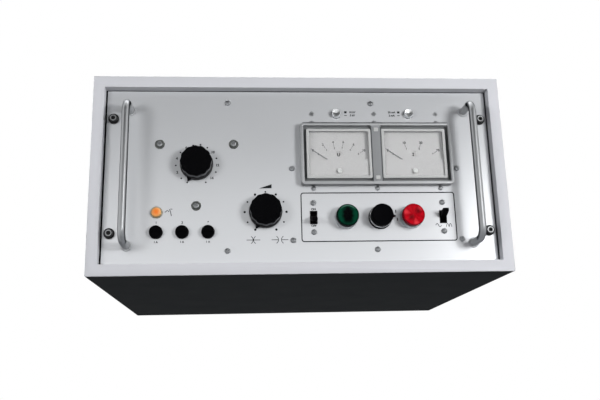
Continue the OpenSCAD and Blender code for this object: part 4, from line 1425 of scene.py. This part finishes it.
class TESTER_OT_levers(bpy.types.Operator):
    """Rounds the two paddle levers and their collars"""

    bl_idname = "tester.levers"
    bl_label = "Lever switches"

    def execute(self, context):
        for kind in ("mains", "wave"):
            softened(kind + "_lever", kind + "_paddle_edges", knob_plastic, kind + "_paddle", "black_plastic",
                     0.7 * MM, 3)
        softened("lever_switches", "lever_collars", black_moulding, "case", "black_plastic", sizes().fine_edge)
        return {"FINISHED"}


# Lamp and fuses


def lamp_dome(reach):
    """The lamp's lens: a short wall under a dome."""
    wall = 3.0
    rise = reach - wall
    profile = [(LAMP_RADIUS, 0.9), (LAMP_RADIUS, wall)]
    for i in range(1, 9):
        angle = math.pi / 2 * i / 8.4
        profile.append((LAMP_RADIUS * math.cos(angle), wall + rise * math.sin(angle)))
    return turned(profile, 64)


def fuse_knob(reach):
    """A fuse cap: knurled sides and a coin slot."""
    cap = turned([(7.8, 1.9), (7.8, reach - 0.9), (7.45, reach - 0.25), (6.9, reach)],
                 flutes=sizes().knurls, flute_depth=0.22)
    carved(cap, plate(10.8, 1.4, reach - 1.2, reach + 2.0))
    stem = turned([(4.1, -13.9), (4.1, 2.2)], 40)
    return joined(cap, stem)


class TESTER_OT_lamp_and_fuses(bpy.types.Operator):
    """Makes the lamp and the three fuse caps"""

    bl_idname = "tester.lamp_and_fuses"
    bl_label = "Lamp and fuses"

    def execute(self, context):
        place = middle_of("lamp_lens")
        dome = seated(lamp_dome(reach_of("lamp_lens")), *place)
        finished(dome, "lamp_dome", orange_lens, "case", "orange_lens", "lamp_lens")
        ring = turned([(4.9, -20.0), (5.0, 0.0), (7.3, 0.0), (7.3, 1.5), (7.0, 2.1), (6.5, 2.4), (6.0, 2.3),
                       (5.95, 0.85), (4.0, 0.8), (4.0, -20.0)], 64, ring=True)
        finished(seated(ring, *place), "lamp_ring", lamp_brass, "case", "ring_silver", "lamp_holder")
        for i in range(1, 4):
            node = f"fuse_cap_{i}"
            piece = seated(fuse_knob(reach_of(node)), *axis_of(f"fuse_unlock_{i}"))
            finished(piece, f"fuse_knob_{i}", knob_plastic, f"fuse_turn_{i}", "knob_black", node)
        dressed(black_moulding, "fuse_holders")
        return {"FINISHED"}


# Inside and rear


def shaft_steel():
    """Ground shafts."""
    return drawn_metal("shaft_steel", srgb(188, 190, 192), 0.26)


def zinc_sheet():
    """Zinc-plated sheet with a faint spangle."""
    return drawn_metal("zinc_sheet", srgb(176, 180, 184), 0.40, grain=60.0)


def core_steel():
    """Stacked core sheets."""
    return drawn_metal("core_steel", srgb(92, 94, 98), 0.5, (1.0, 24.0, 1.0), 60.0, 0.00005)


def brass():
    """Turned brass."""
    return drawn_metal("brass", srgb(202, 162, 84), 0.28)


def copper_toroid():
    """Copper wound about the voltage shaft's axis."""
    return wound("copper_toroid", srgb(184, 100, 52), 220.0, *axis_of("voltage_turn"))


def copper_coil():
    """Copper wound in the transformer."""
    return drawn_metal("copper_coil", srgb(166, 88, 46), 0.36, (1.0, 1.0, 40.0), 40.0, 0.0001)


def insulator():
    """Cream insulating plastic."""
    return coated("insulator", srgb(216, 209, 186), 0.42, 800.0, 0.00003, 0.05)


def can_paint():
    """Grey enamel of the capacitor can."""
    return coated("can_paint", srgb(128, 133, 137), 0.36, 700.0, 0.00003, 0.06)


def board_lacquer():
    """Green circuit-board lacquer."""
    return coated("board_lacquer", srgb(40, 98, 58), 0.3, 500.0, 0.00004, 0.16)


def fuse_glass():
    """Glass fuse bodies with a pale filling."""
    return coated("fuse_glass", srgb(214, 216, 206), 0.14, 900.0, 0.00001, 0.06)


class TESTER_OT_inside(bpy.types.Operator):
    """Finishes the pieces inside the case"""

    bl_idname = "tester.inside"
    bl_label = "Inside"

    def execute(self, context):
        dressed(shaft_steel, "voltage_shaft", "gap_shaft")
        dressed(brass, "brush_arm", "gap_carriage")
        dressed(zinc_sheet, "chassis_tray", "variac_base")
        dressed(copper_toroid, "variac_winding")
        dressed(copper_coil, "hv_winding")
        dressed(core_steel, "hv_core")
        dressed(insulator, "gap_bracket")
        dressed(can_paint, "hv_capacitor")
        dressed(board_lacquer, "control_board", "rectifier")
        dressed(fuse_glass, "fuses")
        return {"FINISHED"}


class TESTER_OT_rear(bpy.types.Operator):
    """Rounds the connections on the rear panel"""

    bl_idname = "tester.rear"
    bl_label = "Rear connections"

    def execute(self, context):
        fine = sizes().fine_edge
        softened("mains_inlet", "mains_inlet_edges", black_moulding, "case", "black_plastic", fine)
        softened("hv_socket", "hv_socket_edges", insulator, "case", "insulator", fine)
        softened("earth_terminal", "earth_terminal_edges", brass, "case", "brass_parts", fine)
        return {"FINISHED"}


# Stage


def floor_paper():
    """Pale paper that fades to white far from the object, and is seen through from below."""
    fade_start = 0.55
    fade_length = 1.1
    finish = Finish("floor_paper", Roughness=0.9, Specular_IOR_Level=0.1)
    paper = finish.blend(finish.noise(40.0, 3.0), srgb(236, 237, 239), srgb(243, 244, 245))
    seen = finish.larger(finish.ray("Camera"), finish.ray("Glossy"), finish.ray("Transmission"))
    finish.set("Base Color", finish.blend(seen, srgb(70, 72, 74), paper))
    away = finish.node("ShaderNodeVectorMath", {"operation": "LENGTH"}, {0: finish.place}, output="Value")
    fade = finish.clip((away - fade_start) / fade_length) * seen
    lit = Wire(finish, finish.shader.outputs[0])
    white = finish.node("ShaderNodeEmission", {}, {"Color": (1.0, 1.0, 1.0), "Strength": 1.0})
    sheet = finish.node("ShaderNodeMixShader", {}, {0: fade, 1: lit, 2: white})
    below = finish.node("ShaderNodeNewGeometry", output="Backfacing")
    clear = finish.node("ShaderNodeBsdfTransparent")
    mixed = finish.node("ShaderNodeMixShader", {}, {0: below, 1: sheet, 2: clear})
    finish.feed(finish.tree.nodes["Material Output"].inputs["Surface"], mixed)
    return finish.material


def studio_floor():
    """A pale floor with the footprint left open, so that some light reaches the underside."""
    margin = 6.0
    beyond = margin - 1.0 * MM
    low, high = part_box("case_shell")
    piece = square()
    piece.scale = (high.x - low.x + 2 * beyond, high.y - low.y + 2 * beyond, 1)
    piece.location = (0, (low.y + high.y) / 2, low.z - 0.4 * MM)
    settle_place(piece)
    edit(piece)
    bpy.ops.mesh.inset(thickness=margin)
    bpy.ops.mesh.delete(type="FACE")
    fresh()
    piece.name = "floor"
    piece.data.materials.append(floor_paper())


def studio_world():
    """White behind the object and in its reflections, and a soft room that lights it."""
    world = bpy.data.worlds.new("studio")
    bpy.context.scene.world = world
    world.use_nodes = True
    world.node_tree.nodes.clear()
    nodes = Nodes(world.node_tree)
    rise = nodes.part(nodes.node("ShaderNodeTexCoord", output="Generated"), "Z")
    ramp = nodes.node("ShaderNodeValToRGB", {}, {0: rise * 0.5 + 0.5})
    stops = ramp.socket.node.color_ramp.elements
    stops[0].color = (0.32, 0.325, 0.33, 1)
    stops[1].color = (0.70, 0.70, 0.71, 1)
    for height, level in ((-0.08, 0.33), (0.0, 0.9), (0.25, 0.9), (0.40, 0.35)):
        stop = stops.new(0.5 + height / 2)
        stop.color = (level, level, level * 1.01, 1)
    room = nodes.node("ShaderNodeBackground", {}, {"Color": ramp, "Strength": 0.45})
    white = nodes.node("ShaderNodeBackground", {}, {"Color": (1.0, 1.0, 1.0)})
    mirrored = nodes.ray("Glossy") * (rise > 0.0)
    seen = nodes.larger(mirrored, nodes.ray("Camera"), nodes.ray("Transmission"))
    mixed = nodes.node("ShaderNodeMixShader", {}, {0: seen, 1: room, 2: white})
    output = world.node_tree.nodes.new("ShaderNodeOutputWorld")
    nodes.feed(output.inputs["Surface"], mixed)


def card_grey():
    """Dull grey card."""
    return Finish("card_grey", Base_Color=srgb(90, 91, 93), Roughness=0.9, Specular_IOR_Level=0.0).material


def grey_card(place, target, size):
    """A card above the camera that only reflections show, so that the panel darkens upwards."""
    card = square(place)
    card.name = "grey_card"
    card.scale = (*size, 1)
    card.rotation_euler = (Vector(target) - Vector(place)).to_track_quat("Z", "Y").to_euler()
    card.data.materials.append(card_grey())
    card.visible_camera = False
    card.visible_diffuse = False
    card.visible_shadow = False
    card.visible_transmission = False


def soft_box(name, place, target, size, power, mirrored=True):
    """A large soft lamp that faces a point, and shows in reflections or not."""
    data = bpy.data.lights.new(name, "AREA")
    data.shape = "RECTANGLE"
    data.size = size[0]
    data.size_y = size[1]
    data.energy = power
    lamp = bpy.data.objects.new(name, data)
    bpy.context.scene.collection.objects.link(lamp)
    lamp.location = place
    lamp.rotation_euler = (Vector(target) - Vector(place)).to_track_quat("-Z", "Y").to_euler()
    lamp.visible_glossy = mirrored


def photo_camera():
    """The camera of the photograph: low in front, a little to the left, looking up."""
    data = bpy.data.cameras.new("photo_camera")
    data.lens = 44.2
    data.sensor_width = 36.0
    camera = bpy.data.objects.new("photo_camera", data)
    bpy.context.scene.collection.objects.link(camera)
    forward = Vector((0.0754, 0.9644, 0.2536)).normalized()
    upward = Vector((0.0057, -0.2547, 0.967))
    across = forward.cross(upward).normalized()
    upward = across.cross(forward)
    turn = Matrix((across, upward, -forward)).transposed().to_4x4()
    camera.matrix_world = Matrix.Translation((-0.0710, -1.0843, -0.1371)) @ turn
    bpy.context.scene.camera = camera


class TESTER_OT_stage(bpy.types.Operator):
    """Sets up the floor, the lamps, the world and the camera"""

    bl_idname = "tester.stage"
    bl_label = "Stage"

    def execute(self, context):
        context.scene.view_settings.view_transform = "Standard"
        studio_floor()
        studio_world()
        soft_box("left_box", (-0.62, -0.95, 0.10), (-0.10, -0.2, 0.12), (0.24, 0.20), 2.9, False)
        soft_box("key_box", (0.62, -1.15, 0.06), (0.0, -0.2, 0.10), (0.28, 0.11), 7.6, False)
        soft_box("shine_box", (1.25, -2.10, 0.40), (0.2, -0.2, 0.08), (0.46, 0.50), 8.5)
        grey_card((-0.1, -1.9, 1.25), (0.0, -0.2, 0.15), (3.0, 1.3))
        soft_box("top_box", (0.0, 0.9, 2.2), (0.0, 0.5, 0.0), (2.2, 2.2), 50.0)
        soft_box("rear_box", (-0.7, 2.3, 1.1), (0.0, 0.2, 0.12), (1.6, 1.2), 30.0)
        photo_camera()
        return {"FINISHED"}


class TESTER_PT_sidebar(bpy.types.Panel):
    """Lists the steps and settings of the tester"""

    bl_idname = "TESTER_PT_sidebar"
    bl_label = "Tester"
    bl_space_type = "VIEW_3D"
    bl_region_type = "UI"
    bl_category = "Tester"

    def draw(self, context):
        for step in STEPS:
            self.layout.operator(step.bl_idname)
        for group in (context.scene.tester_sizes, context.scene.tester_colours):
            for label in group.__annotations__:
                self.layout.prop(group, label)


STEPS = (
    TESTER_OT_stage,
    TESTER_OT_case,
    TESTER_OT_panel,
    TESTER_OT_fixings,
    TESTER_OT_handles,
    TESTER_OT_meters,
    TESTER_OT_large_knobs,
    TESTER_OT_buttons,
    TESTER_OT_levers,
    TESTER_OT_lamp_and_fuses,
    TESTER_OT_inside,
    TESTER_OT_rear,
)
CLASSES = (TesterSizes, TesterColours, *STEPS, TESTER_PT_sidebar)


def register():
    """Registers the classes and their settings."""
    for group in CLASSES:
        bpy.utils.register_class(group)
    bpy.types.Scene.tester_sizes = PointerProperty(type=TesterSizes)
    bpy.types.Scene.tester_colours = PointerProperty(type=TesterColours)


def unregister():
    """Takes the settings and classes away again."""
    del bpy.types.Scene.tester_colours
    del bpy.types.Scene.tester_sizes
    for group in reversed(CLASSES):
        bpy.utils.unregister_class(group)


def main():
    """Runs every step in order."""
    register()
    for step in STEPS:
        getattr(bpy.ops.tester, step.bl_idname.split(".")[1])()


if __name__ == "__main__":
    main()
